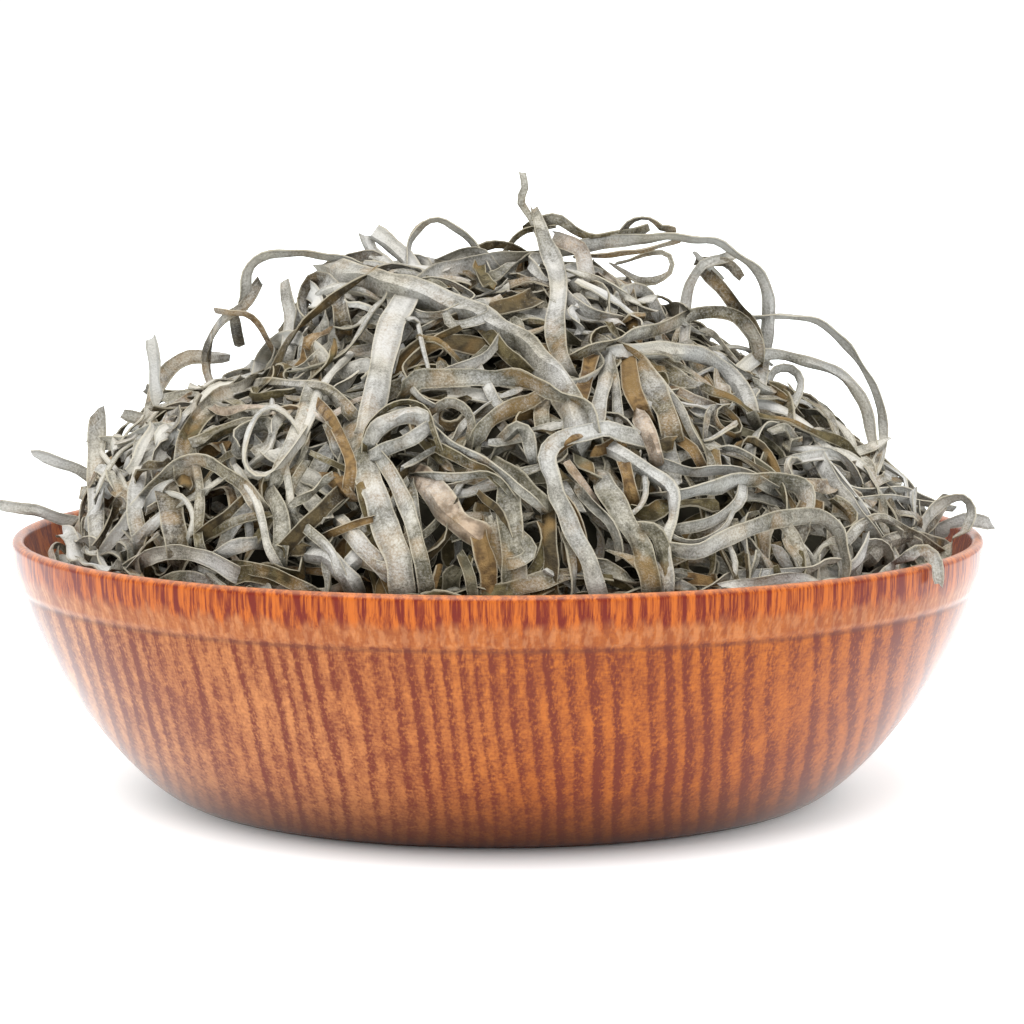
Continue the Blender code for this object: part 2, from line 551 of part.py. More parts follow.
def make_shreds(collection):
    """Every shred as its own object: those that stand out, both sides, and the filler between."""
    shapes = [shown_shred(*shred) for shred in SHOWN]
    for line, across, width in shapes[:]:
        low = line[:, 2].max() < BEHIND_TOP
        if low and line[:, 1].mean() < BEHIND_FROM and width >= BEHIND_WIDTH:
            shapes.append((*turned_behind(line, across), width))
    for index in range(FILLER_COUNT):
        rng = random.Random(SEED * 1000 + index)
        line, across, width = filler_shred(rng, index)
        crowded = abs(line[:, 1].mean()) > CROWDED_FROM and index % CROWDED_SHARE
        if len(line) >= 4 and not crowded and not crosses_itself(line, width):
            shapes.append((line, across, width))
    for number, (line, across, width) in enumerate(shapes):
        add_object(f"shred_{number:03d}", ribbon(line, across, width), collection)


# ---- Fusing ---------------------------------------------------------------------------------

def apply_boolean(target, operation, solver, collection=None, cutter=None):
    """Fuses a collection onto the target, or cuts one object out of it, and keeps the result."""
    modifier = target.modifiers.new(operation.lower(), "BOOLEAN")
    modifier.operation = operation
    modifier.solver = solver
    if collection:
        modifier.operand_type = "COLLECTION"
        modifier.collection = collection
    else:
        modifier.object = cutter
    graph = bpy.context.evaluated_depsgraph_get()
    mesh = bpy.data.meshes.new_from_object(target.evaluated_get(graph))
    target.modifiers.remove(modifier)
    target.data = mesh


def keep_largest_shell(piece):
    """Drops loose scraps and the walls of sealed hollows, which are shells of their own."""
    bm = bmesh.new()
    bm.from_mesh(piece.data)
    bm.verts.ensure_lookup_table()
    unseen = set(bm.verts)
    shells = []
    while unseen:
        shell = set()
        front = [unseen.pop()]
        while front:
            vert = front.pop()
            shell.add(vert)
            for edge in vert.link_edges:
                other = edge.other_vert(vert)
                if other in unseen:
                    unseen.remove(other)
                    front.append(other)
        shells.append(shell)
    shells.sort(key=len, reverse=True)
    scraps = [vert for shell in shells[1:] for vert in shell]
    bmesh.ops.delete(bm, geom=scraps, context="VERTS")
    bm.to_mesh(piece.data)
    bm.free()


def make_kelp(scene_collection):
    shreds = bpy.data.collections.new("shreds")
    scene_collection.children.link(shreds)
    kelp = make_core(scene_collection)
    make_shreds(shreds)
    apply_boolean(kelp, "UNION", "MANIFOLD", collection=shreds)
    for shred in list(shreds.objects):
        bpy.data.objects.remove(shred)
    bpy.data.collections.remove(shreds)
    cutter = add_object("bowl_space", turned(grown(bowl_outline(), CLEARANCE), BOWL_SIDES), scene_collection)
    apply_boolean(kelp, "DIFFERENCE", "MANIFOLD", cutter=cutter)
    bpy.data.objects.remove(cutter)
    keep_largest_shell(kelp)
    kelp.data.materials.clear()
    kelp.data.materials.append(colour_material("dried kelp", (0.30, 0.28, 0.22), 0.85))


def make_bowl(scene_collection):
    bowl = add_object("bowl", turned(bowl_outline(), BOWL_SIDES), scene_collection)
    bowl.data.materials.append(colour_material("lacquered wood", (0.55, 0.20, 0.06), 0.3))
    bowl.data.shade_smooth()
    bowl.data.set_sharp_from_angle(angle=math.radians(35))


def build():
    for old in list(bpy.data.objects):
        bpy.data.objects.remove(old)
    scene_collection = bpy.context.scene.collection
    make_bowl(scene_collection)
    make_kelp(scene_collection)


build()
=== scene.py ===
"""Shredded dried kelp heaped in a lacquered turned bowl, on a pale floor under soft light.

The heap is built in millimetres, with the same form as the solid it stands for: shreds are laid
one after another over its surface, each resting on those below, and the ones that stand out are
placed as the eye sees them. Everything becomes metres where a mesh is made.
"""
import math

import bmesh
import bpy
import numpy as np
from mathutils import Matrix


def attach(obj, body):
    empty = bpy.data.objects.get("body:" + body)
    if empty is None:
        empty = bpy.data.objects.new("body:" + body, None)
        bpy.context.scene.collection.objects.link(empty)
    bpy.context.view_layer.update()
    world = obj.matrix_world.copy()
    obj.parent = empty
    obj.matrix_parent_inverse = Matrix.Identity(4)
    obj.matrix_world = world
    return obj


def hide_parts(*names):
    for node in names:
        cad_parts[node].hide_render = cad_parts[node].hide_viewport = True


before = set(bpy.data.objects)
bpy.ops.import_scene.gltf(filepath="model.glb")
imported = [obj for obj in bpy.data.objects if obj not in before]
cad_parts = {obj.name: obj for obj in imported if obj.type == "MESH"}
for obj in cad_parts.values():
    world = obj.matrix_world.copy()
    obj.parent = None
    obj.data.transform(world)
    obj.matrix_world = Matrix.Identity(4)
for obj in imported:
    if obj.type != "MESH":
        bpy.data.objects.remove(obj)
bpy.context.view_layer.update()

MM = 0.001
SEED = 7
UP = np.array((0.0, 0.0, 1.0))

# The bowl: a wide lip band over a rounded body on a flat base.
RIM_RADIUS = 90.0
RIM_HEIGHT = 48.0
LIP_THICKNESS = 2.4
BAND_DEPTH = 9.4
BAND_FOOT = RIM_HEIGHT - BAND_DEPTH
BAND_FOOT_RADIUS = 88.9
BODY_RADIUS = 88.1
BODY_ROUNDNESS = 1.3
BASE_RADIUS = 60.0
BASE_EDGE = 0.6
WALL = 4.4
CAVITY_RADIUS = BODY_RADIUS - WALL + 0.9
FLOOR = 6.0
FLOOR_RADIUS = 50.0
BOWL_SIDES = 144
CAVITY_STEPS = 22
LIP_STEPS = 10
BODY_STEPS = 30
BOWL_CREASE = math.radians(50)

# The heap: how far it reaches from its centre, which lies in the plane of the rim, and how much
# further on the right; the power makes it rounder.
HEAP_X = 4.0
HEAP_CENTRE = np.array((HEAP_X, 0.0, RIM_HEIGHT))
HEAP_RISE = 50.0
HEAP_REACH = 79.0
HEAP_REACH_RIGHT = -2.0
HEAP_POWER = 1.5
HEAP_POWER_RIGHT = -0.2
HILLS = 0.9

# Swells and hollows of the heap: heading, elevation, height, spread round and up, in degrees.
SWELLS = (
    (180.0, 56.0, 5.5, 20.0, 9.0),
    (180.0, 14.0, 1.5, 20.0, 7.0),
    (180.0, 31.0, -8.5, 26.0, 6.5),
    (0.0, 30.0, -3.0, 40.0, 16.0),
)

# The core: it follows the heap at a depth, and the bowl's hollow below its shoulder.
CORE_CENTRE = np.array((HEAP_X, 0.0, 38.0))
CORE_DEPTH = 12.5
CORE_SHOULDER = RIM_HEIGHT - 7.0
CORE_BUMPS = 1.2
CORE_SPAN = 120.0

# The shreds: the step along one, their lengths in steps, and least, usual and greatest width.
STEP = 1.5
LONGEST = 42
SHORTEST = 7
WIDTHS = (0.9, 2.0, 3.9)
THICKNESS = 0.5
SHRED_CREASE = math.radians(52)

# The pile that fills the heap: from how deep to how high over its surface, the gap it leaves
# under the shreds that stand out, and how far a shred may be pressed.
CANDIDATES = 6500
PILE_DEPTH = 12.0
PILE_TOP = 2.6
UNDER_SHOWN = 0.7
LEAST_ROOM = 0.4
PRESSED = 0.3
STIFFNESS = 14.0
TIP_LENGTH = 9.0

# The shreds in the moat between the heap and the bowl's wall, in layers from its floor up.
MOAT_SHREDS = 260
MOAT_RADII = (73.0, 83.0)
MOAT_RADIUS_LIMIT = 83.2
MOAT_FLOOR = RIM_HEIGHT - 6.0
MOAT_LAYERS = 3.6
MOAT_HEIGHTS = (RIM_HEIGHT - 7.0, RIM_HEIGHT + 1.5)

# The round map that keeps how high the pile is: the heap as seen from a point on its axis, out
# to this many radians from straight up.
MAP_CELLS = 460
MAP_REACH = 1.9
MAP_CENTRE = np.array((HEAP_X, 0.0, 34.0))

# The share of pointed ends, the room that shreds keep from the wall and under the lip, and how
# far within the rim a point still counts as outside the bowl.
POINTED = 0.12
WALL_GAP = 0.4
LIP_GAP = 1.4
RIM_BAND = 1.0

# The bake map: the height of a row of shreds, and the gap between two.
CHART_ROW = 12.0
CHART_GAP = 4.0

# The eye, its lens on a sensor of this width, and how many degrees it looks down.
EYE = np.array((2.6, -703.2, 132.6))
SENSOR = 36.0
LENS = 133.56
PITCH = 6.582

# How a shred that stands out ends: tucked in by so much, to so far below the heap's surface.
# One that hangs over the rim lies this far along Y.
TUCK = 3.0
TUCK_DEPTH = 5.0
OVER_RIM = -50.0

# Shreds nearer the eye than this also lie on the far side, turned round the heap's axis, but
# not those that reach up to here.
BEHIND_FROM = -20.0
BEHIND_TURN = math.radians(163.0)
BEHIND_TOP = 100.0

# What every kind of kelp shares: the powder on its skin, pale torn edges, ochre stains, and how
# much less powder its underside has.
POWDER = (0.505, 0.495, 0.47)
TORN_EDGE = (0.52, 0.47, 0.355)
OCHRE = (0.20, 0.125, 0.045)
UNDERSIDE = 0.3

# The kinds of kelp: share of the filling, colours deep in the skin and on it, and dusting.
KINDS = {
    "grey": (0.46, (0.055, 0.048, 0.026), (0.14, 0.125, 0.08), 0.08),
    "olive": (0.18, (0.045, 0.034, 0.012), (0.12, 0.095, 0.04), -0.3),
    "tan": (0.05, (0.08, 0.045, 0.016), (0.22, 0.135, 0.05), -0.5),
    "pale": (0.16, (0.09, 0.085, 0.065), (0.21, 0.20, 0.165), 0.35),
    "brown": (0.12, (0.03, 0.021, 0.009), (0.09, 0.065, 0.028), -0.55),
    "beige": (0.03, (0.17, 0.125, 0.085), (0.38, 0.285, 0.20), -0.25),
}

# The core, seen between the shreds: kelp made near black, as painted shade for the depths of the
# heap.
CORE_DARK = (0.012, 0.011, 0.007)
CORE_PALE = (0.09, 0.08, 0.055)

# The wood: its body, then the band round its top.
# The body goes from paler and greyer on the left to deeper orange on the right. This is partly the
# wood's own colour and partly a painted sheen for the white the lacquer reflects on the left.
WOOD_LEFT_WITH_SHEEN = (0.53, 0.225, 0.085)
WOOD_RIGHT = (0.455, 0.126, 0.018)
WOOD_RING = (0.145, 0.025, 0.011)
# Painted shade: the colour the body darkens to near its base, where the floor's shade falls.
PAINTED_FOOT_SHADE = (0.095, 0.028, 0.011)
STRIP_DARK = (0.33, 0.09, 0.022)
STRIP_PALE = (0.50, 0.195, 0.075)
STREAK_BRIGHT = (0.46, 0.11, 0.014)
STREAK_DARK = (0.14, 0.013, 0.006)
BAND_SHADOW = (0.10, 0.03, 0.02)
LIP_SHINE = (0.75, 0.40, 0.22)

# The ground the bowl stands on, and its painted glow, which washes out the shade round the bowl.
FLOOR_WHITE = (0.88, 0.93, 0.95)
FLOOR_GLOW = (0.95, 1.0, 1.0)

# Each shred that stands out: kind, width, turn in degrees from face-on along it, how far it
# stands off the heap, and points (across, up) on the upright plane through the bowl's axis, as
# the eye sees them. Last come its loose ends: "a" first, "b" last; "m" puts it in the middle
# plane of the heap, and "r" hangs it over the rim.
SHOWN = (
    # Along the top, from left to right.
    ("grey", 5.0, (5, 0, 0, 8, 20), 4.0, ((-31.5, 96.3), (-22, 93.8), (-11, 90.6), (-2, 86.8),
        (5, 81.6), (10.5, 76), (13.5, 70), (14.5, 64))),
    ("grey", 2.2, (20, 40, 65, 60, 25), 1.0, ((-46.8, 91.5), (-46.6, 95.5), (-44.5, 98.6),
        (-40, 99.3), (-35, 99.4), (-30, 98.6), (-26, 97))),
    ("grey", 2.2, (10, 30, 20), 0.0, ((-24.6, 102.8), (-23.4, 100), (-20.6, 97.4),
        (-19.2, 95)), "a"),
    ("pale", 3.2, (10, 0, 20), 0.0, ((-23, 103.6), (-20.4, 101.8), (-17.6, 99.2), (-15.2, 96.4),
        (-12, 94)), "a"),
    ("brown", 2.0, (20, 40), 1.0, ((-29.5, 98), (-26.5, 99.2), (-23.6, 99.6), (-21, 98))),
    ("grey", 1.8, (55, 45, 65, 65), 0.0, ((-17.2, 97.5), (-16.4, 101.8), (-14.2, 105),
        (-11.6, 106), (-9, 105.4), (-5.6, 102.6), (-3.2, 99.6), (-1, 96))),
    ("grey", 2.0, (40, 20), 1.0, ((-15.6, 98.6), (-13.4, 98.2), (-12.6, 96), (-14.6, 94.8))),
    ("grey", 1.4, (0, 20, 0), 0.0, ((4.6, 114.4), (5.0, 111.6), (4.3, 109.3), (5.6, 106.8),
        (7.2, 104), (9, 100)), "a"),
    ("grey", 3.2, (0, 0, 20, 10, 0), 3.5, ((7.8, 104.6), (9.2, 100.5), (11, 96.4), (11.4, 92),
        (10.6, 87.5), (11, 83), (12.8, 78))),
    ("grey", 2.2, (10, 30, 40), 3.0, ((10.8, 94.5), (13, 91), (16.6, 88.8), (21, 87.6))),
    ("olive", 1.4, (30, 50), 0.0, ((1.5, 100.5), (3.4, 103), (5.4, 104.4), (7.5, 104.6))),
    ("brown", 1.8, (30, 30), 0.0, ((-3, 100.4), (-0.5, 101.2), (2, 101), (4.5, 99.5))),
    ("olive", 2.0, (40, 20, 50, 40), 0.0, ((7.5, 105.0), (11, 105.8), (14.5, 103.6), (18, 102.4),
        (22, 102.9), (25, 103.4))),
    ("brown", 1.7, (50, 60, 50), 0.0, ((22.4, 103.2), (24, 105.4), (26.4, 106.2), (28.8, 105.9),
        (30, 104.6), (33, 104.2)), "b"),
    ("grey", 2.6, (20, 10, 45, 68, 65, 10, 0, 10), 0.0, ((12, 100), (18, 101.4), (24, 102),
        (30, 102.3), (36, 102.4), (40, 101.8), (43.4, 99.8), (46.4, 97.8), (48.8, 95),
        (49.8, 91.6), (50.1, 87), (49.6, 82), (48, 75))),
    ("tan", 1.2, (50, 50), 1.5, ((17, 99.2), (22, 99.7), (27, 100.5), (31, 101.4))),
    ("beige", 2.8, (10, 0), 3.0, ((12.6, 101.6), (15, 100.4), (16, 98), (16.4, 95.2))),
    ("olive", 1.5, (55, 55), 0.0, ((24.4, 98.4), (28, 99.4), (31, 99.4), (32, 97.8), (31.5, 96),
        (29, 94.9), (26, 95), (23.4, 96.4))),
    ("grey", 3.8, (30, 10, 20, 40), 2.0, ((-15.5, 92), (-11, 95.6), (-5, 97.4), (1, 98.4),
        (6, 98.8))),
    ("grey", 2.4, (30, 10), 1.0, ((-9.5, 98.4), (-6, 99.8), (-3, 99.6), (-1, 97))),
    ("brown", 2.8, (10, 20), 2.0, ((39.4, 95.2), (42, 92.4), (45, 88.8), (47.5, 84.8),
        (48.5, 80))),
    ("brown", 1.8, (20, 20), 0.0, ((39.6, 98), (42, 97.8), (43.8, 96.6), (45.2, 95.2)), "b"),
    ("grey", 2.0, (20, 10), 1.0, ((41, 98.2), (38.2, 97.2), (36, 94.2), (35.2, 91), (34.8, 87.5),
        (34.6, 82))),
    ("grey", 1.0, (20, 20), 1.0, ((36.2, 99.9), (37.4, 98.6), (39.4, 96.8)), "a"),
    ("olive", 2.4, (60, 45, 20, 10, 30), 5.0, ((13.5, 80.5), (18, 82.4), (24, 84.2), (30, 85.8),
        (36, 88.2), (41, 88.8), (45, 87.4), (47.6, 83.6), (48.6, 79))),
    ("grey", 1.8, (50, 60, 55, 40, 20, 20), 0.0, ((46.5, 87.4), (51.5, 88.4), (55, 88),
        (58.5, 87.2), (62, 85.2), (65, 82.4), (67.5, 79.3), (69.5, 75.5), (71, 71), (71.6, 67),
        (71.3, 62), (69, 57))),
    ("grey", 2.2, (30, 20, 20, 30, 40, 50), 2.0, ((44.5, 77.5), (48, 80.2), (52, 80.7), (56, 79.8),
        (60, 78.7), (64, 76.6), (67, 73.6), (68.4, 70.5), (69.4, 67), (70.2, 62))),
    ("grey", 2.2, (30, 20, 40), 1.5, ((20.5, 88), (22.5, 91.2), (25.5, 92.8), (28.4, 91.4),
        (30, 88))),
    ("brown", 2.0, (20, 20), 1.5, ((19.4, 95.6), (21.4, 93.6), (22.4, 90.6))),
    ("brown", 2.4, (20, 20), 1.0, ((24.2, 91.4), (24.6, 89.4), (24.8, 86.6))),
    ("pale", 3.0, (20, 10, 20), 3.0, ((20, 80.5), (26, 81.2), (32, 81.6), (37, 81), (41.5, 78.6),
        (45, 75), (47, 70))),
    ("grey", 0.9, (20, 20), 2.0, ((40.5, 82), (43.4, 82.2), (46, 81.8), (48.4, 80.4))),
    ("olive", 1.2, (50, 50), 2.5, ((40.6, 81.6), (44, 80), (46.6, 77.6), (48.3, 75))),
    ("pale", 1.8, (40, 40), 1.5, ((50, 75.4), (51.4, 78), (54, 78.2), (56, 76), (55.6, 73),
        (53.8, 70.6))),
    ("brown", 1.5, (20, 20), 2.5, ((50.3, 74.8), (52.5, 73.4), (54.8, 71))),
    ("grey", 3.4, (20, 40), 0.0, ((23.6, 91), (19.5, 94.5), (15.5, 96), (12, 95.5)), "a"),
    # The left shoulder.
    ("brown", 3.0, (10, 20, 20), 2.0, ((-36.2, 88.5), (-35.8, 92.4), (-33.6, 95), (-31, 94.2),
        (-29.3, 91.2), (-28.5, 87.4))),
    ("brown", 1.9, (15, 45, 55, 45), 0.0, ((-43.7, 94.4), (-45.4, 91.8), (-47.4, 89.8), (-50, 88),
        (-52.4, 85.4), (-53.6, 81.5), (-53.6, 77.4), (-51.5, 73)), "a"),
    ("tan", 1.2, (30, 30), 1.0, ((-49.4, 88.6), (-46.4, 88.2), (-44.2, 86.4), (-42.6, 83.4))),
    ("brown", 2.0, (10, 20), 0.0, ((-48.9, 88.8), (-48.6, 87), (-48.3, 85.5), (-48, 82.6)), "ab"),
    ("olive", 2.6, (10, 20, 35), 0.0, ((-52.6, 80.4), (-57.5, 80.3), (-61, 78), (-63.6, 74.5),
        (-64.5, 70), (-64.3, 65), (-65, 60))),
    ("pale", 2.6, (10, 20), 0.0, ((-64.4, 83.8), (-64, 80), (-63.3, 75)), "am"),
    ("pale", 2.6, (30, 20, 30), 1.5, ((-44.4, 76.5), (-43.2, 80.8), (-40, 83.6), (-36, 83.4),
        (-32.6, 80.6), (-31, 77))),
    ("brown", 1.8, (10, 20), 2.5, ((-41.4, 79.2), (-39.8, 81.6), (-38.4, 83.2))),
    ("grey", 2.4, (10, 20), 2.5, ((-42.6, 78), (-38.8, 77), (-35.6, 78.4), (-33, 81))),
    ("brown", 2.0, (10, 20), 1.5, ((-34.4, 80), (-33.6, 77.6), (-33.4, 75.4))),
    ("grey", 2.6, (20, 10), 1.0, ((-39, 91.5), (-38.4, 88), (-38.6, 84), (-39.4, 80))),
    ("pale", 1.8, (30, 30), 2.5, ((-28.6, 80), (-31.4, 77), (-33.4, 73.6), (-35, 69.6),
        (-36.6, 65))),
    ("grey", 2.8, (10, 30), 3.0, ((-34, 75.6), (-36, 70.6), (-37.8, 65), (-40, 60.5),
        (-42, 56.5))),
    ("olive", 2.6, (25, 20, 10), 3.5, ((-52, 74.2), (-45, 74.6), (-38, 74.7), (-32.5, 74),
        (-29, 71.6), (-26.4, 69))),
    ("olive", 4.0, (10, 20, 10), 2.0, ((-46.5, 74), (-51, 72.4), (-55, 69), (-57.2, 64.4),
        (-57.6, 59))),
    ("pale", 1.2, (30, 30), 3.0, ((-50.6, 74.6), (-54.4, 72.4), (-58, 69.4), (-60.4, 65.6))),
    ("tan", 2.2, (10, 20), 3.0, ((-33.6, 72), (-30.6, 68.4), (-28.4, 64), (-27.4, 60),
        (-27.8, 56))),
    ("pale", 1.8, (64, 68, 64), 4.5, ((-37, 65.6), (-39, 69.2), (-41.4, 71), (-44, 69.9),
        (-46, 66.8), (-47, 63), (-46.4, 59.8), (-44.2, 58.4), (-41.4, 59.6), (-38.5, 62.8),
        (-36.4, 66.4))),
    ("grey", 1.0, (30, 30), 3.0, ((-42, 70.6), (-41.6, 67), (-42.4, 63.6), (-44.6, 61.6))),
    ("tan", 2.2, (20, 20), 2.0, ((-53, 74), (-57.4, 72.6), (-60.8, 69.6), (-62, 66))),
    ("grey", 2.6, (20, 30), 1.0, ((-73, 64.6), (-69, 65), (-66, 66.4), (-62.5, 67), (-58.6, 65))),
    ("olive", 2.3, (10, 20), 0.0, ((-69.6, 69.8), (-67.6, 69.2), (-64, 68.4)), "am"),
    # The left end.
    ("grey", 2.8, (10, 10), 2.0, ((-66.6, 63), (-67.2, 57), (-67.5, 51), (-66.6, 46))),
    ("brown", 2.2, (10, 20), 1.0, ((-72, 56.6), (-69.6, 54.6), (-67.4, 53.2))),
    ("olive", 3.2, (0, 15, 10), 1.0, ((-74.6, 70.6), (-74.7, 65), (-74.9, 58.5), (-74.9, 52),
        (-74.5, 45)), "a"),
    ("grey", 2.3, (20, 20), 0.0, ((-86.5, 62.2), (-81, 60.6), (-76, 58.4), (-70, 53),
        (-64, 47)), "am"),
    ("grey", 2.5, (20, 20), 0.0, ((-93.5, 52.4), (-88, 51.9), (-84, 50.9), (-79, 49.4), (-70, 48),
        (-62, 47)), "am"),
    ("grey", 0.9, (20, 20), 0.5, ((-73.2, 62), (-70.6, 58.6), (-69, 55.6))),
    ("grey", 2.2, (20, 20), 2.5, ((-75.5, 40.5), (-72, 45.6), (-69, 49.8), (-66, 53.6))),
    ("brown", 4.2, (0, 20), 2.5, ((-62, 56), (-60.8, 51.6), (-60, 47), (-59.6, 42))),
    ("pale", 1.2, (40, 30), 3.0, ((-61.6, 55), (-58.8, 54), (-57, 50.6), (-57.6, 46.6))),
    ("olive", 2.6, (30, 40, 20), 3.0, ((-65, 55.4), (-61.6, 58.6), (-57.8, 60.8), (-54.2, 61),
        (-50.4, 59), (-47, 56.3), (-44, 52.6))),
    ("pale", 1.4, (30, 10, 30), 3.5, ((-47.4, 57.6), (-45.6, 54.6), (-44, 50), (-43, 45),
        (-41, 41))),
    ("olive", 1.8, (10, 20), 2.5, ((-56.4, 61), (-55.6, 54.4), (-55.9, 47.5), (-55, 43))),
    ("brown", 2.6, (10, 20), 2.0, ((-56, 46.6), (-51.6, 49.6), (-47.6, 53.2))),
    ("grey", 2.8, (50, 20, 30, 20), 3.0, ((-69.4, 40), (-65.6, 43.2), (-61.6, 44), (-57, 43.8),
        (-52, 41.8), (-48, 39.6))),
    ("pale", 2.6, (20, 20), 2.5, ((-52.6, 43), (-49.4, 45), (-45.6, 45.4))),
    ("olive", 2.0, (20, 20), 3.0, ((-47, 41), (-42, 39.8), (-38, 38.2), (-34, 36))),
    ("brown", 2.6, (20, 20), 2.0, ((-40, 44.6), (-36.6, 48.4), (-33, 51.4), (-30.2, 54.4))),
    ("grey", 2.8, (20, 20), 2.0, ((-42.4, 55), (-40.6, 51), (-40.4, 46.4), (-41, 42))),
    ("grey", 1.8, (20, 30), 3.0, ((-36.4, 49), (-33, 45.8), (-30.6, 42.6), (-28.6, 38))),
    ("pale", 3.4, (0, 20), 2.5, ((-35.6, 44), (-32, 42.8), (-29, 40), (-27, 36.6))),
    ("pale", 1.2, (30, 20), 2.0, ((-39.8, 62), (-39, 56.6), (-38.2, 51.6))),
    # The front, from left to right.
    ("pale", 4.4, (35, 10, 0, 15), 4.0, ((-17.5, 90.6), (-19.8, 86.4), (-21.2, 81), (-22.2, 75.6),
        (-23, 71), (-24.4, 66))),
    ("grey", 4.4, (10, 0, 0, 10), 3.0, ((-26.4, 68), (-26, 63), (-24.4, 58), (-22.4, 53),
        (-20.2, 47), (-18.3, 41), (-17.5, 35))),
    ("grey", 2.8, (50, 20, 0), 3.5, ((-22.8, 63), (-19.6, 58), (-17.2, 52.5), (-15.4, 47),
        (-14, 41.5), (-12.8, 35))),
    ("pale", 3.0, (0, 0, 20), 5.0, ((-24.6, 63), (-22.6, 66.6), (-18.6, 69.2), (-14.6, 69.2),
        (-12.4, 66.8))),
    ("pale", 2.6, (10, 0, 20), 5.2, ((-23.6, 61.6), (-19.4, 63.8), (-15.6, 65.6), (-12.8, 67.6))),
    ("olive", 1.1, (40, 40), 5.4, ((-25, 62.4), (-24.4, 67.4), (-21, 70.8), (-16.6, 72.2),
        (-13.2, 70.6), (-11.8, 66.4), (-10.4, 63))),
    ("grey", 3.2, (10, 0, 0, 30, 55, 45), 5.0, ((-16.3, 74), (-15.4, 76), (-9, 76.6), (-2, 76.5),
        (4, 76.2), (9, 74.4), (13.5, 72.4), (17, 70.2), (18, 66))),
    ("pale", 1.2, (30, 40), 4.5, ((-16.4, 75), (-14.2, 72.6), (-11.4, 71.2))),
    ("grey", 1.8, (20, 40), 3.0, ((-11.8, 70.4), (-9.4, 72), (-6.6, 71), (-5, 68.4),
        (-5.4, 64.6))),
    ("pale", 1.5, (40, 50, 40), 4.5, ((-12, 67), (-8.6, 64.2), (-5, 62.2), (-2, 60.9), (0.6, 59.2),
        (4, 56), (7.6, 52.8))),
    ("olive", 1.8, (40, 20), 3.5, ((-11, 63.6), (-6.4, 61.2), (-2, 59.4), (1, 57))),
    ("grey", 1.6, (30, 50), 3.5, ((-13, 58.2), (-7, 58.2), (-2.8, 58.8), (0.6, 57.6),
        (3.4, 54.4))),
    ("grey", 2.6, (20, 10), 3.0, ((0.4, 60), (3.4, 58), (6, 55), (9.2, 52.2))),
    ("grey", 2.8, (10, 10), 3.0, ((-4.3, 64.6), (-2, 68.2), (2, 70.6), (6, 72.2), (8.6, 73.8))),
    ("pale", 1.8, (10, 20), 3.5, ((-3, 77), (-1, 72.8), (1.8, 69.8))),
    ("pale", 2.4, (10, 30), 3.0, ((1.6, 65.4), (3.8, 67.2), (5.8, 65.4), (6.6, 61.6))),
    ("pale", 0.8, (20, 20), 3.0, ((-14.5, 85), (-13.7, 81), (-12.8, 77.6))),
    ("pale", 1.6, (20, 20), 2.5, ((-9.6, 77.6), (-5, 79.3), (-2, 81), (0.6, 84))),
    ("olive", 2.4, (10, 30), 2.5, ((-1.6, 84.6), (1.6, 81), (5.2, 77.8))),
    ("tan", 2.8, (0, 10), 2.0, ((16.8, 79), (16, 75.6), (14.8, 71.6))),
    ("pale", 2.8, (10, 20), 3.0, ((20.4, 81), (19.8, 76.6), (18.8, 71.8), (17.6, 67))),
    ("grey", 2.0, (10, 20), 2.5, ((20.8, 79), (22, 73.6), (22.6, 68))),
    ("tan", 3.0, (0, 10), 3.5, ((24.4, 78.6), (25, 74.4), (27, 70))),
    ("olive", 4.0, (0, 10), 4.0, ((26, 78.8), (28.8, 74.8), (31, 71), (32.4, 65.6))),
    ("beige", 2.6, (10, 20), 3.5, ((26, 70), (28, 65.8), (29.6, 61))),
    ("pale", 1.4, (30, 30), 3.5, ((30.4, 75.4), (33.6, 71.4), (35.6, 67), (37.6, 63.6))),
    ("tan", 2.2, (10, 20), 2.5, ((33.6, 73.4), (36, 72.4), (39, 71.6))),
    ("tan", 1.8, (10, 20), 3.0, ((34.4, 64.8), (36.4, 63.2), (37.8, 60.8))),
    ("pale", 2.2, (20, 30, 20), 3.5, ((31, 60.6), (36, 59.3), (41, 59.7), (46, 58.7), (51, 56.2))),
    ("tan", 2.4, (0, 10), 3.0, ((23.2, 62), (24.2, 58), (24.8, 54))),
    ("pale", 0.9, (20, 40), 3.5, ((27.2, 59), (27.4, 54.6), (25.6, 51.8), (22.6, 50.8))),
    ("pale", 2.8, (0, 10, 55, 20, 0), 4.0, ((21.6, 62.8), (27, 59.5), (31.6, 55.6), (32.4, 50.5),
        (30.6, 46), (31, 41), (31.3, 35))),
    ("grey", 2.6, (50, 10, 0), 3.8, ((25.6, 48), (29, 47.6), (30.6, 44), (31, 40), (31.3, 34))),
    ("grey", 3.6, (10, 0), 3.0, ((19.6, 57), (23, 51), (26, 46), (27.8, 41), (28.6, 35))),
    ("tan", 1.6, (30, 20), 3.2, ((10.4, 62.4), (13.6, 64.6), (17, 65.8))),
    ("pale", 3.0, (60, 30, 10, 40, 20, 0, 0), 4.0, ((26, 65), (20.5, 67), (15, 66), (10.8, 64.3),
        (9, 61.3), (10.4, 57), (12.6, 52), (14.8, 46.5), (17, 41.5), (19, 35))),
    ("grey", 4.2, (5, 0), 1.5, ((2.1, 57), (2.2, 49.5), (2.8, 43), (3.6, 35))),
    ("grey", 2.2, (30, 10), 2.5, ((4.6, 47), (6.2, 44), (4.4, 42), (2, 41.6))),
    ("brown", 2.6, (10, 20), 1.0, ((9.4, 50), (9.5, 45), (10, 38), (10.2, 34))),
    ("beige", 5.0, (10, 0), 2.5, ((-13.6, 57), (-9.8, 52.4), (-6, 48.6), (-2, 46))),
    ("tan", 3.0, (10, 0), 2.0, ((-3.4, 47), (-2.4, 42.5), (-1.6, 37), (-1.4, 33))),
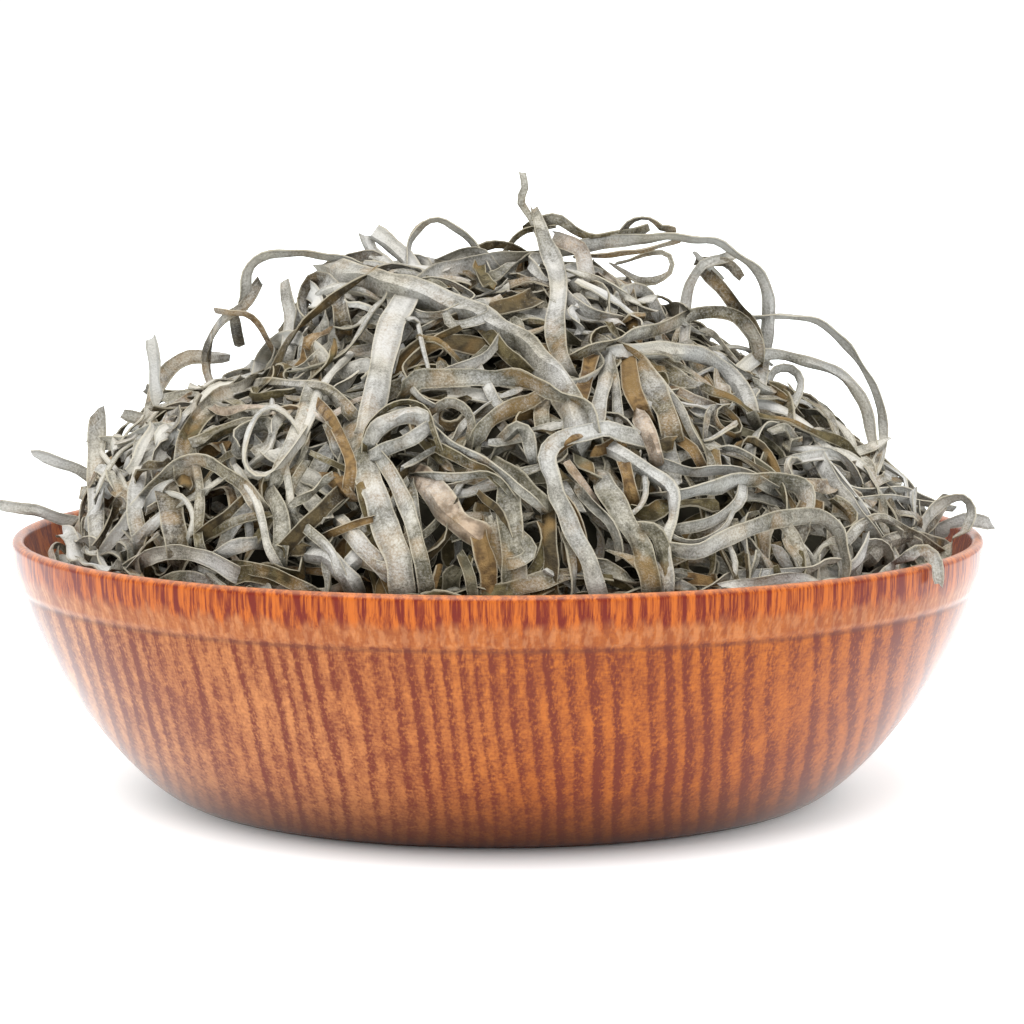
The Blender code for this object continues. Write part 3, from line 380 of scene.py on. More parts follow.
    ("tan", 1.4, (30, 20), 2.5, ((-30, 48), (-26, 49.7), (-22.6, 50.6))),
    ("pale", 3.2, (10, 20), 2.0, ((-28.6, 48.4), (-25.4, 45), (-22.4, 42.2), (-19.6, 38.6))),
    ("grey", 2.4, (10, 20), 2.6, ((-23.6, 41.6), (-19.4, 40), (-16.6, 37.4))),
    # The right end.
    ("grey", 1.9, (20, 30), 3.0, ((32.6, 48), (38, 49.2), (42, 51), (44.6, 53.6), (45.6, 57))),
    ("grey", 3.0, (50, 30, 10, 20, 55, 60), 4.5, ((31, 45), (37, 44.4), (42, 46.2), (48, 49),
        (54, 50.4), (60, 50.5), (63.4, 47.6), (65, 44), (65.4, 40), (65, 36))),
    ("pale", 0.9, (20, 30), 3.5, ((30.8, 48), (34, 46.2), (38, 46.1), (42, 48.4), (43.8, 52))),
    ("grey", 3.0, (60, 50, 30, 20, 40), 4.5, ((32, 54.6), (38, 55.4), (43, 57), (48, 57.4),
        (52, 57.5), (56, 56.4), (57.8, 53.5), (57.2, 49.6))),
    ("pale", 1.0, (30, 30), 2.5, ((42.6, 46), (44.2, 42), (43.6, 37.6))),
    ("grey", 2.2, (20, 40), 2.0, ((73.2, 65.4), (69.6, 63.6), (65, 62), (60, 61.6),
        (54, 60.6)), "a"),
    ("grey", 2.8, (10, 30), 3.0, ((60, 61.6), (63, 56.5), (66, 52.4), (69, 48))),
    ("pale", 1.2, (40, 30), 3.5, ((62, 60.6), (65.4, 56.2), (68.4, 51.8), (71, 48))),
    ("olive", 2.0, (40, 10, 30), 4.0, ((65, 46), (68, 48.8), (71.4, 50.2), (74.6, 48.8),
        (78, 46.6), (82, 44))),
    ("brown", 2.8, (20, 20), 2.0, ((70, 43), (74, 46.2), (78, 46.4), (82, 45))),
    ("grey", 1.5, (50, 50), 1.0, ((62, 58), (66, 55.9), (70.4, 55.5), (75, 55.9), (78.4, 54.8),
        (81.4, 53.4))),
    ("grey", 1.5, (30, 40), 1.5, ((67, 53.6), (72, 54), (77, 53.7), (82, 52.8))),
    ("pale", 1.2, (30, 40), 0.5, ((70, 61.2), (73, 59.4), (75.4, 57.6), (75.6, 55))),
    ("brown", 2.2, (10, 20), 1.5, ((70.4, 62), (69.8, 58.4), (72, 55.8))),
    ("grey", 2.3, (10, 40, 60, 30, 10), 3.0, ((77.6, 46.6), (80.4, 51), (82.6, 53.4), (85, 54.6),
        (87.2, 54.1), (88.2, 51.3), (87, 47.8), (84.6, 44.6), (81, 42))),
    ("brown", 2.4, (10, 20), 1.5, ((77.6, 47.6), (80.4, 49.2), (82.2, 52))),
    ("grey", 2.6, (10, 20), 0.0, ((82, 47.6), (86, 49.8), (89, 49.9), (92.4, 49.4)), "bm"),
    ("grey", 2.6, (30, 10), 0.0, ((75, 41), (78, 43.9), (80.4, 43.8), (81.6, 41),
        (82.3, 37.4)), "br"),
)


# ---- Meshes and pieces ----

def mesh_from(bm, name):
    """A smooth mesh of a bmesh, which is freed."""
    mesh = bpy.data.meshes.new(name)
    bm.to_mesh(mesh)
    bm.free()
    mesh.shade_smooth()
    return mesh


def linked(mesh, material):
    """An object at the origin, named as its mesh is."""
    mesh.materials.append(material)
    piece = bpy.data.objects.new(mesh.name, mesh)
    bpy.context.scene.collection.objects.link(piece)
    return piece


def stand_for(piece, node):
    """Lets a piece take a solid's place and ride with the part."""
    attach(piece, "root")
    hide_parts(node)


# ---- The bowl ----

def rounded(top, foot, steps):
    """Points down a superellipse from top (radius, height) to foot, without the foot itself."""
    points = []
    for i in range(steps):
        angle = 0.5 * math.pi * i / steps
        across = math.cos(angle) ** (2 / BODY_ROUNDNESS)
        down = math.sin(angle) ** (2 / BODY_ROUNDNESS)
        points.append((foot[0] + (top[0] - foot[0]) * across, top[1] + (foot[1] - top[1]) * down))
    return points


def arc(centre, radius, start, end, steps):
    """Points along part of a circle, angles in degrees from +radius towards +height."""
    angles = np.radians(np.linspace(start, end, steps + 1))
    return [(centre[0] + radius * math.cos(a), centre[1] + radius * math.sin(a)) for a in angles]


def bowl_outline():
    """The turned outline, from the middle of the floor over the lip to the middle of the base."""
    floor = [(0.0, FLOOR), (0.5 * FLOOR_RADIUS, FLOOR), (FLOOR_RADIUS, FLOOR)]
    cavity = rounded((CAVITY_RADIUS, BAND_FOOT), (FLOOR_RADIUS, FLOOR), CAVITY_STEPS)
    inner = RIM_RADIUS - LIP_THICKNESS
    under_lip = [(inner - 0.9, RIM_HEIGHT - 5.0)]
    lip_middle = (0.5 * (inner + RIM_RADIUS), RIM_HEIGHT - LIP_THICKNESS / 2)
    lip = arc(lip_middle, LIP_THICKNESS / 2, 180, 0, LIP_STEPS)
    band = [
        (RIM_RADIUS - 0.05, RIM_HEIGHT - 3.0),
        (RIM_RADIUS - 0.35, RIM_HEIGHT - 5.5),
        (BAND_FOOT_RADIUS + 0.15, BAND_FOOT + 2.2),
        (BAND_FOOT_RADIUS, BAND_FOOT + 1.5),
        (BAND_FOOT_RADIUS - 0.2, BAND_FOOT + 1.0),
        (BODY_RADIUS + 0.2, BAND_FOOT + 0.4),
    ]
    base = [
        (BASE_RADIUS + BASE_EDGE, 0.5),
        (BASE_RADIUS, 0.12),
        (BASE_RADIUS - 0.8, 0.0),
        (0.0, 0.0),
    ]
    body = rounded((BODY_RADIUS, BAND_FOOT), base[0], BODY_STEPS)
    return floor + cavity[::-1] + under_lip + lip + band + body + base


def make_bowl(material):
    bm = bmesh.new()
    verts = [bm.verts.new((radius * MM, 0.0, height * MM)) for radius, height in bowl_outline()]
    edges = [bm.edges.new(pair) for pair in zip(verts, verts[1:])]
    bmesh.ops.spin(bm, geom=verts + edges, cent=(0, 0, 0), axis=(0, 0, 1), angle=2 * math.pi,
                   steps=BOWL_SIDES, use_merge=True, use_duplicate=False)
    bmesh.ops.remove_doubles(bm, verts=bm.verts, dist=1e-6)
    bmesh.ops.recalc_face_normals(bm, faces=bm.faces)
    mesh = mesh_from(bm, "turned_bowl")
    mesh.set_sharp_from_angle(angle=BOWL_CREASE)
    stand_for(linked(mesh, material), "bowl")


# ---- The heap's form ----

def unit(rows):
    return rows / np.maximum(np.linalg.norm(rows, axis=-1), 1e-9)[..., None]


def heap_radius(towards):
    """How far the heap reaches from its centre along each unit direction (rows of x, y, z)."""
    flat = np.hypot(towards[:, 0], towards[:, 1]) + 1e-6
    azimuth = np.arctan2(towards[:, 1], towards[:, 0])
    climb = np.clip(towards[:, 2], 0.0, 1.0)
    rightness = np.cos(azimuth)
    power = HEAP_POWER + HEAP_POWER_RIGHT * rightness * flat
    reach = HEAP_REACH + HEAP_REACH_RIGHT * rightness
    radius = ((flat / reach) ** power + (climb / HEAP_RISE) ** power) ** (-1.0 / power)
    upward = np.degrees(np.arcsin(climb))
    for heading, elevation, height, spread, rise in SWELLS:
        round_it = (np.degrees(azimuth) - heading + 180.0) % 360.0 - 180.0
        round_it *= math.cos(math.radians(elevation)) / spread
        radius += height * np.exp(-0.5 * round_it ** 2 - 0.5 * ((upward - elevation) / rise) ** 2)
    hills = np.sin(3 * azimuth + 0.7) * np.sin(4 * climb + 0.4) + np.sin(5 * azimuth + 2.1) * flat
    return radius + HILLS * hills * np.clip(climb * 4, 0.0, 1.0)


def heap_gap(points):
    """How far points (rows) lie outside the heap, which goes straight down below the rim."""
    rel = points - HEAP_CENTRE
    rel[:, 2] = np.maximum(rel[:, 2], 0.0)
    distance = np.linalg.norm(rel, axis=1)
    return distance - heap_radius(rel / np.maximum(distance, 1e-6)[:, None])


def heap_normal(points):
    """Which way the heap's surface faces near each point."""
    steps = 0.5 * np.eye(3)
    slopes = [heap_gap(points + step) - heap_gap(points - step) for step in steps]
    return unit(np.stack(slopes, axis=1))


def cavity_radius(height):
    """The bowl's inner radius at each height above its floor."""
    down = np.clip((BAND_FOOT - height) / (BAND_FOOT - FLOOR), 0.0, 1.0) ** BODY_ROUNDNESS
    return FLOOR_RADIUS + (CAVITY_RADIUS - FLOOR_RADIUS) * (1.0 - down) ** (1 / BODY_ROUNDNESS)


def in_core(points):
    """Whether each point lies deep in the heap, or below the shoulder within the bowl's hollow."""
    height = points[:, 2]
    in_bowl = np.hypot(points[:, 0], points[:, 1]) < cavity_radius(height) - 1.0
    inside = np.where(height < CORE_SHOULDER, in_bowl, heap_gap(points) < -CORE_DEPTH)
    return inside & (height > FLOOR + 0.4)


def make_core(material):
    """The dark bumpy lump under the shreds, which fills the bowl below them."""
    bm = bmesh.new()
    bmesh.ops.create_icosphere(bm, subdivisions=6, radius=1.0)
    towards = np.array([vert.co for vert in bm.verts])
    near = np.zeros(len(towards))
    far = np.full(len(towards), CORE_SPAN)
    for _ in range(26):
        middle = 0.5 * (near + far)
        inside = in_core(CORE_CENTRE + towards * middle[:, None])
        near = np.where(inside, middle, near)
        far = np.where(inside, far, middle)
    rng = np.random.default_rng(SEED)
    bumps = rng.uniform(-1.0, 1.0, len(towards)) * np.where(towards[:, 2] > 0.1, CORE_BUMPS, 0.0)
    for vert, direction, distance in zip(bm.verts, towards, near + bumps):
        vert.co = (CORE_CENTRE + direction * distance) * MM
    stand_for(linked(mesh_from(bm, "kelp_core"), material), "kelp")


# ---- Shreds that stand out ----

def through(knots):
    """Points about a step apart on the smooth curve through the knots (rows)."""
    ends = np.vstack((2 * knots[0] - knots[1], knots, 2 * knots[-1] - knots[-2]))
    dense = []
    for a, b, c, d in zip(ends, ends[1:], ends[2:], ends[3:]):
        for t in np.arange(0.0, 1.0, 0.1):
            curve = 2 * b + (c - a) * t + (2 * a - 5 * b + 4 * c - d) * t ** 2
            dense.append(0.5 * (curve + (3 * b - a - 3 * c + d) * t ** 3))
    dense.append(knots[-1])
    dense = np.array(dense)
    run = np.r_[0.0, np.cumsum(np.linalg.norm(np.diff(dense, axis=0), axis=1))]
    wanted = np.linspace(0.0, run[-1], int(run[-1] / STEP) + 2)
    return np.stack([np.interp(wanted, run, column) for column in dense.T], axis=1)


def on_sight(depth, across, up):
    """Places at a depth along Y on the line of sight to each point of the upright plane."""
    share = np.reshape((depth - EYE[1]) / -EYE[1], (-1, 1))
    plane = np.stack((across, np.zeros(len(across)), up), axis=1)
    return EYE + share * (plane - EYE)


def meeting_depth(across, up):
    """Where, along Y, each line of sight first meets the heap, or else passes nearest to it."""
    depths = np.arange(-95.0, 45.0, 1.0)
    found = []
    for x, z in zip(across, up):
        gap = heap_gap(on_sight(depths, [x], [z]))
        inside = np.flatnonzero(gap < 0.0)
        found.append(depths[inside[0] if len(inside) else gap.argmin()])
    return np.array(found)


def eased(values, passes):
    """The values with each one drawn towards its neighbours, the ends kept free."""
    for _ in range(passes):
        padded = np.concatenate((values[:1], values, values[-1:]))
        values = (padded[:-2] + 2 * padded[1:-1] + padded[2:]) / 4
    return values


def directions(line):
    return unit(np.gradient(line, axis=0))


def seen_line(turns, stand_off, knots, loose):
    """Centre line and width directions of a shred that is placed as the eye sees it."""
    knots = np.array(knots, float)
    if "a" not in loose:
        knots = np.vstack((knots[0] + TUCK * unit(knots[0] - knots[1]), knots))
    if "b" not in loose:
        knots = np.vstack((knots, knots[-1] + TUCK * unit(knots[-1] - knots[-2])))
    across, up = through(knots).T
    run = np.linspace(0.0, 1.0, len(across))
    from_end = np.minimum(run, 1 - run) * len(across) * STEP
    sunk = np.interp(from_end, (0, 2 * TUCK), (1.0, 0.0)) ** 2
    tied = np.where(run < 0.5, "a" not in loose, "b" not in loose)
    depth = eased(meeting_depth(across, up), 8)
    depth = depth - (stand_off - tied * sunk * (stand_off + TUCK_DEPTH))
    if "m" in loose:
        depth = np.zeros(len(across))
    if "r" in loose:
        depth = np.full(len(across), OVER_RIM)
    line = on_sight(depth, across, up)
    along = directions(line)
    face_on = unit(np.cross(along, unit(line - EYE)))
    turn = np.radians(np.interp(run, np.linspace(0.0, 1.0, len(turns)), turns))[:, None]
    return line, np.cos(turn) * face_on + np.sin(turn) * np.cross(along, face_on)


def turned_behind(line, across):
    """The same shred on the far side of the heap, lying as far off its surface as before."""
    sine, cosine = math.sin(BEHIND_TURN), math.cos(BEHIND_TURN)
    turn = np.array(((cosine, sine, 0.0), (-sine, cosine, 0.0), (0.0, 0.0, 1.0)))
    axis = np.array((HEAP_X, 0.0, 0.0))
    moved = (line - axis) @ turn + axis
    change = heap_gap(line) - heap_gap(moved)
    return moved + change[:, None] * heap_normal(moved), across @ turn


def shown_shreds():
    """Kind, centre line, width directions and width of the shreds that stand out."""
    front, behind = [], []
    for kind, width, turns, stand_off, knots, *ends in SHOWN:
        loose = "".join(ends)
        line, across = seen_line(turns, stand_off, knots, loose)
        front.append((kind, line, across, width))
        low = line[:, 2].max() < BEHIND_TOP and "r" not in loose
        if low and line[:, 1].mean() < BEHIND_FROM:
            behind.append((kind, *turned_behind(line, across), width))
    return front + behind


# ---- Shreds that fill the heap ----

def wandering(rng, count):
    """Lines that wander over the heap's surface; each one curves as far as it leans over.

    Returns places, sideways directions and outward directions (count x steps x 3), and the
    lean from flat in radians (count x steps).
    """
    climb = rng.uniform(0.0, 1.0, count)
    azimuth = rng.uniform(0.0, 2 * math.pi, count)
    flat = np.sqrt(1.0 - climb ** 2)
    towards = np.stack((flat * np.cos(azimuth), flat * np.sin(azimuth), climb), axis=1)
    point = HEAP_CENTRE + towards * heap_radius(towards)[:, None]
    along = rng.normal(size=(count, 3))
    lean = np.radians(rng.normal(0.0, 48.0, count))
    twist = np.radians(rng.normal(0.0, 2.6, count))
    swing = np.radians(rng.uniform(0.0, 90.0, count))
    wave = rng.uniform(11.0, 50.0, count)
    phase = rng.uniform(0.0, 2 * math.pi, (2, count))
    bend = rng.choice((-1.0, 1.0), count) / (3.0 + 17.0 * rng.uniform(0.0, 1.0, count) ** 1.6)
    steps = []
    for i in range(LONGEST):
        run = i * STEP
        out = heap_normal(point)
        low = point[:, 2] < RIM_HEIGHT - 3.0
        along[low, 2] = np.abs(along[low, 2])
        along = unit(along - np.sum(along * out, axis=1)[:, None] * out)
        side = np.cross(out, along)
        turn = lean + twist * run + swing * np.sin(2 * math.pi * run / wave + phase[0])
        steps.append((point, side, out, turn))
        curl = bend * (1.0 + 0.6 * np.sin(2 * math.pi * run / (0.7 * wave) + phase[1]))
        along = along + side * (np.sin(turn) * curl * STEP)[:, None]
        point = point + along * STEP
        point = point - heap_gap(point)[:, None] * heap_normal(point)
    return [np.stack(rows, axis=1) for rows in zip(*steps)]


def cells_at(points):
    """Cell numbers of the round map of the heap."""
    towards = unit(points - MAP_CENTRE)
    polar = np.arccos(np.clip(towards[..., 2], -1.0, 1.0)) / MAP_REACH
    flat = np.maximum(np.hypot(towards[..., 0], towards[..., 1]), 1e-9)
    column = (0.5 + 0.5 * polar * towards[..., 0] / flat) * MAP_CELLS
    row = (0.5 + 0.5 * polar * towards[..., 1] / flat) * MAP_CELLS
    column = np.clip(column.astype(int), 0, MAP_CELLS - 1)
    return np.clip(row.astype(int), 0, MAP_CELLS - 1) * MAP_CELLS + column


def bridged(heights):
    """The lowest stiff curve over the heights: it can't bend down faster than a shred does."""
    run = np.arange(len(heights)) * STEP
    apart = run[:, None] - run[None, :]
    return (heights[None, :] - apart ** 2 / (2 * STIFFNESS)).max(axis=1)


def footprint(place, side, lean, width, columns):
    """Cells under a shred, a row for each place along it."""
    spread = np.linspace(-0.5, 0.5, columns) * width
    reach = side[:, None, :] * np.cos(lean)[:, None, None] * spread[None, :, None]
    return cells_at(place[:, None, :] + reach)


def room_below(shown):
    """For each cell of the map, how high the filling shreds may reach."""
    ceiling = np.full(MAP_CELLS * MAP_CELLS, PILE_TOP)
    for _, line, across, width in shown:
        spread = np.linspace(-0.5, 0.5, 9)[None, :, None] * width
        patch = (line[:, None, :] + across[:, None, :] * spread).reshape(-1, 3)
        gap = heap_gap(patch) - UNDER_SHOWN
        keep = gap > LEAST_ROOM
        np.minimum.at(ceiling, cells_at(patch)[keep], gap[keep])
    return ceiling


def longest_run(free):
    """Where the longest stretch of True starts, and the place after its last."""
    edges = np.flatnonzero(np.diff(np.concatenate(((False,), free, (False,))).astype(int)))
    if len(edges) == 0:
        return 0, 0
    starts, stops = edges[::2], edges[1::2]
    longest = np.argmax(stops - starts)
    return starts[longest], stops[longest]


def sprung(rng, n):
    """How far a shred springs off those below along its length: arches, and ends that lift."""
    run = np.linspace(0.0, 1.0, n)
    arches = rng.uniform(0.0, 3.2) * np.sin(math.pi * run) ** 2
    reach = STEP * n
    tips = np.maximum(0.0, TIP_LENGTH - run * reach) ** 2 * rng.uniform(0.0, 0.05)
    tips += np.maximum(0.0, TIP_LENGTH - (1 - run) * reach) ** 2 * rng.uniform(0.0, 0.05)
    return arches + tips


def rested(rng, pile, ceiling, place, side, lean, width):
    """How high a shred lies on those below along its length, and where it has room to."""
    cells = footprint(place, side, lean, width, 5)
    below = np.sort(pile[cells], axis=1)[:, 2]
    half_height = 0.5 * width * np.abs(np.sin(lean)) + 0.5 * THICKNESS
    height = eased(bridged(below + 0.5 * half_height), 4) + sprung(rng, len(place))
    free = height + half_height <= ceiling[cells].min(axis=1) + PRESSED
    return height, half_height, free


def fitted(rng, pile, ceiling, rows, width):
    """A shred's rows where it has room, with how high it lies and reaches, or nothing."""
    for _ in range(2):
        place, side, _, lean = rows
        height, half_height, free = rested(rng, pile, ceiling, place, side, lean, width)
        if free.all():
            return rows, height, half_height
        start, stop = longest_run(free)
        if stop - start < SHORTEST + 2:
            return None
        rows = [row[start + 1:stop - 1] for row in rows]
    return None


def press_into(pile, place, side, lean, width, crown):
    """Raises the pile to a shred's crown wherever the shred lies."""
    whole = np.arange(len(place))
    fine = np.linspace(0, len(place) - 1, 3 * len(place))
    place, side = [
        np.stack([np.interp(fine, whole, column) for column in rows.T], axis=1)
        for rows in (place, side)
    ]
    cells = footprint(place, side, np.interp(fine, whole, lean), width, 9)
    np.maximum.at(pile, cells, np.interp(fine, whole, crown)[:, None])


def pile_up(rng, ceiling):
    """Lays shreds over the core one by one, each resting on those below, until it is full."""
    lines = wandering(rng, CANDIDATES)
    pile = np.full(MAP_CELLS * MAP_CELLS, -PILE_DEPTH)
    counts = rng.integers(SHORTEST + 2, LONGEST, CANDIDATES)
    laid = []
    for k, width in enumerate(rng.triangular(*WIDTHS, CANDIDATES)):
        found = fitted(rng, pile, ceiling, [rows[k, :counts[k]] for rows in lines], width)
        if found is None:
            continue
        (place, side, out, lean), height, half_height = found
        press_into(pile, place, side, lean, width, height + 0.6 * half_height)
        line = place + out * height[:, None]
        across = np.cos(lean)[:, None] * side + np.sin(lean)[:, None] * out
        laid.append((line, across, width, float(height.mean())))
    return laid


def sway(rng, run, shortest, longest):
    """A sine along a shred, of a random wave and phase."""
    return np.sin(run / rng.uniform(shortest, longest) + rng.uniform(0.0, 6.0))


def moat_shreds(rng):
    """Shreds that lie round the foot of the heap, in the gap between it and the bowl's wall."""
    laid = []
    for k in range(MOAT_SHREDS):
        run = np.arange(rng.integers(8, 26)) * STEP
        radius = rng.uniform(*MOAT_RADII)
        inward = rng.normal(0.0, 0.25) + 0.5 * sway(rng, run, 3.0, 9.0)
        azimuth = rng.uniform(0.0, 2 * math.pi) + rng.choice((-1.0, 1.0)) * run / radius
        radius = np.minimum(radius + np.cumsum(inward) * STEP * 0.35, MOAT_RADIUS_LIMIT)
        wave = rng.uniform(0.4, 2.4) * sway(rng, run, 3.0, 8.0)
        layer = MOAT_LAYERS * (k / MOAT_SHREDS)
        height = MOAT_FLOOR + layer + wave + rng.normal(0.0, 0.12) * run
        height = np.clip(height, *MOAT_HEIGHTS)
        lean = np.radians(rng.normal(0.0, 50.0) + 50.0 * np.sin(run / rng.uniform(4.0, 12.0)))
        outward = np.stack((np.cos(azimuth), np.sin(azimuth), 0 * azimuth), axis=1)
        line = outward * radius[:, None] + height[:, None] * UP
        across = np.cos(lean)[:, None] * outward + np.sin(lean)[:, None] * UP
        laid.append((line, across, rng.triangular(*WIDTHS), -1.0))
    return laid


# ---- Ribbons ----

def torn_ends(rng, n, width):
    """How a strip narrows along its length, and how far each column of its ends slants."""
    narrowed = np.ones(n)
    slant = np.zeros((n, 3))
    for steps, sign in ((np.arange(n), -1.0), (np.arange(n)[::-1], 1.0)):
        pointed = rng.uniform() < POINTED
        narrow = rng.uniform(0.15, 0.4) if pointed else rng.uniform(0.6, 0.95)
        narrowed *= np.interp(steps, (0, 3 if pointed else 1), (narrow, 1.0))
        jagged = 0.2 * rng.uniform(-1.0, 1.0, 3)
        jagged = jagged + 0.3 * rng.uniform(-1.0, 1.0) * np.array((-1.0, 0.0, 1.0))
        jagged *= min(width, 3.5)
        slant += sign * jagged * np.interp(steps, (0, 3), (1.0, 0.0))[:, None]
    return narrowed, slant


def ribbon(line, across, width, rng):
    """Points of a thin cupped strip with ruffled edges: rings of six, three above, three under."""
    along = directions(line)
    across = unit(across - np.sum(across * along, axis=1)[:, None] * along)
    up = np.cross(along, across)
    n = len(line)
    narrowed, slant = torn_ends(rng, n, width)
    left = 0.5 * width * narrowed * (1 + eased(rng.normal(0, 0.22, n), 2))
    right = 0.5 * width * narrowed * (1 + eased(rng.normal(0, 0.22, n), 2))
    crease = rng.normal(0.0, 0.2) + eased(rng.normal(0.0, 0.35, n), 3)
    crease = 0.5 * width * narrowed * crease
    fold = (rng.normal(0.0, 0.15) + eased(rng.normal(0.0, 0.22, n), 3)) * width
    ruffle = eased(rng.normal(0.0, 0.6, (n, 3)), 2) * (1.0, 0.6, 1.0) * min(1.0, width / 3.0)
    from_end = np.minimum(np.arange(n), np.arange(n)[::-1])
    half = 0.5 * THICKNESS * np.interp(from_end, (0, 1), (0.6, 1.0))
    columns = ((-left, fold, 0.55, 0), (crease, 0.0, 1.0, 1), (right, fold, 0.55, 2))
    ring = []
    for side in (1, -1):
        for place, rise, thin, column in columns[::side]:
            level = rise + ruffle[:, column] + side * half * thin
            edge = line + across * place[:, None] + up * level[:, None]
            ring.append(edge + along * slant[:, column, None])
    return np.stack(ring, axis=1)


def clear_of_bowl(points):
    """Moves points below the rim to where the bowl leaves room, within its wall or outside."""
    radius = np.hypot(points[:, 0], points[:, 1])
    lip_limit = RIM_RADIUS - LIP_THICKNESS - LIP_GAP
    limit = np.minimum(cavity_radius(points[:, 2]) - WALL_GAP, lip_limit)
    outside = radius > RIM_RADIUS - RIM_BAND
    limit = np.where(outside, np.maximum(radius, RIM_RADIUS + WALL_GAP), limit)
    over = (points[:, 2] < RIM_HEIGHT + WALL_GAP) & ((radius > limit) | outside)
    points[over, :2] *= (limit[over] / radius[over])[:, None]
    return points


def corners(grid):
    """The four corners of each cell between the rows and columns of a grid, cell by cell."""
    cells = np.stack((grid[:-1, :-1], grid[:-1, 1:], grid[1:, 1:], grid[1:, :-1]), axis=2)
    return cells.reshape(-1, 4, *grid.shape[2:])


def shred_faces(rings, first):
    """Four-sided faces round and along a strip of rings of six, and over its two ends."""
    ring = first + np.arange(6 * rings).reshape(rings, 6)
    last = ring[-1, 0]
    ends = [
        (first + 5, first + 4, first + 1, first), (first + 4, first + 3, first + 2, first + 1),
        (last, last + 1, last + 4, last + 5), (last + 1, last + 2, last + 3, last + 4),
    ]
    return np.concatenate((corners(np.column_stack((ring, ring[:, 0]))), ends))


def shred_chart(rings, width, corner):
    """Places on the bake map for the faces of shred_faces: along by round, in millimetres."""
    run = np.arange(rings) * STEP
    round_it = np.array((0.0, 0.5, 1.0, 1.1, 1.6, 2.1, 2.2)) * width
    chart = corners(np.stack(np.meshgrid(run, round_it, indexing="ij"), axis=2))
    cap = np.array(((0, 0), (0.4, 0), (0.4, 0.4), (0, 0.4)))
    caps = [cap + (run[-1] + 0.3 + 0.5 * i, 0.2) for i in range(4)]
    return np.concatenate((chart, caps)) + corner


def shred_places(rng, n, tone_and_shade):
    """For each point of a strip: where it lies across, how far along, and how much powder it has,
    painted light and shade included.

    The run starts anywhere, so that no two shreds have the same fibres.
    """
    place = np.tile((-1.0, 0.0, 1.0, 1.0, 0.0, -1.0), n)
    run = np.repeat(np.arange(n) * STEP * MM + rng.uniform(0, 5), 6)
    dust_and_shade = tone_and_shade - np.tile((0.0, 0.0, 0.0, UNDERSIDE, UNDERSIDE, UNDERSIDE), n)
    return np.stack((place, run, dust_and_shade), axis=1)


def make_kind(kind, shreds, material, rng):
    """Joins the shreds of one kind into a piece."""
    points, faces, places, charts = [], [], [], []
    row_length = math.sqrt(sum(len(s[0]) * STEP + CHART_GAP for s in shreds) * CHART_ROW)
    corner = np.array((0.0, 0.0))
    first = 0
    for line, across, width, tone_and_shade in shreds:
        n = len(line)
        if corner[0] + n * STEP + CHART_GAP > row_length:
            corner = np.array((0.0, corner[1] + CHART_ROW))
        points.append(ribbon(line, across, width, rng).reshape(-1, 3))
        faces.append(shred_faces(n, first))
        charts.append(shred_chart(n, width, corner))
        places.append(shred_places(rng, n, tone_and_shade))
        corner = corner + (n * STEP + CHART_GAP, 0.0)
        first += 6 * n
    mesh = bpy.data.meshes.new(f"shreds_{kind}")
    points = clear_of_bowl(np.concatenate(points)) * MM
    mesh.from_pydata(points.tolist(), [], np.concatenate(faces).tolist())
    chart = np.concatenate(charts).reshape(-1, 2) / max(row_length, corner[1] + CHART_ROW)
    layer = mesh.uv_layers.new(name="OFBake")
    layer.data.foreach_set("uv", chart.astype(np.float32).ravel())
    attribute = mesh.attributes.new("strip", "FLOAT_VECTOR", "POINT")
    attribute.data.foreach_set("vector", np.concatenate(places).astype(np.float32).ravel())
    mesh.shade_smooth()
    mesh.set_sharp_from_angle(angle=SHRED_CREASE)
    stand_for(linked(mesh, material), "kelp")
    print(mesh.name, len(shreds), "shreds", 2 * len(mesh.polygons), "triangles")


def painted_light_at(line):
    """Painted light: how much paler, by more powder, a shred is made than one in the middle of the
    front: more high up and out.
    """
    return 0.012 * (line[:, 2].mean() - 66.0) + 0.015 * (np.abs(line[:, 0]).mean() - 30.0)


def make_shreds(materials):
    rng = np.random.default_rng(SEED)
    shown = shown_shreds()
    laid = pile_up(rng, room_below(shown)) + moat_shreds(rng)
    shreds = {kind: [] for kind in KINDS}
    shares = [share for share, *_ in KINDS.values()]
    for line, across, width, height in laid:
        kind = rng.choice(list(KINDS), p=shares)
        # Painted shade and light: shreds deeper in the pile get less powder and look darker, those
        # high up and far out get more and look paler, on top of a random share.
        tone_and_shade = rng.normal(0.5, 0.27) + 0.045 * height + painted_light_at(line)
        shreds[kind].append((line, across, width, np.clip(tone_and_shade, 0.0, 1.1)))
    for kind, line, across, width in shown:
        # Painted light: shreds that stand out get more powder, and look paler, the higher up and
        # further out they lie.
        tone_and_shade = rng.uniform(0.35, 0.75) + painted_light_at(line)
        shreds[kind].append((line, across, width, tone_and_shade))
    for kind in KINDS:
        make_kind(kind, shreds[kind], materials[kind], rng)


# ---- Materials ----

def new_material(name, roughness, specular):
    """A material and its shader and node tree."""
    material = bpy.data.materials.new(name)
    material.use_nodes = True
    shader = material.node_tree.nodes["Principled BSDF"]
    shader.inputs["Roughness"].default_value = roughness
    shader.inputs["Specular IOR Level"].default_value = specular
    return material, shader, material.node_tree


def feed(tree, socket, value):
    """Gives an input a number, a colour or another node's output."""
    if isinstance(value, bpy.types.NodeSocket):
        tree.links.new(value, socket)
    elif socket.type == "RGBA":
        socket.default_value = (*value, 1.0)
    else:
        socket.default_value = value


def add(tree, kind, inputs, **settings):
    """A node with its settings, and its inputs by name or number."""
    node = tree.nodes.new(kind)
    for key, value in settings.items():
        setattr(node, key, value)
    for key, value in inputs.items():
        feed(tree, node.inputs[key], value)
    return node


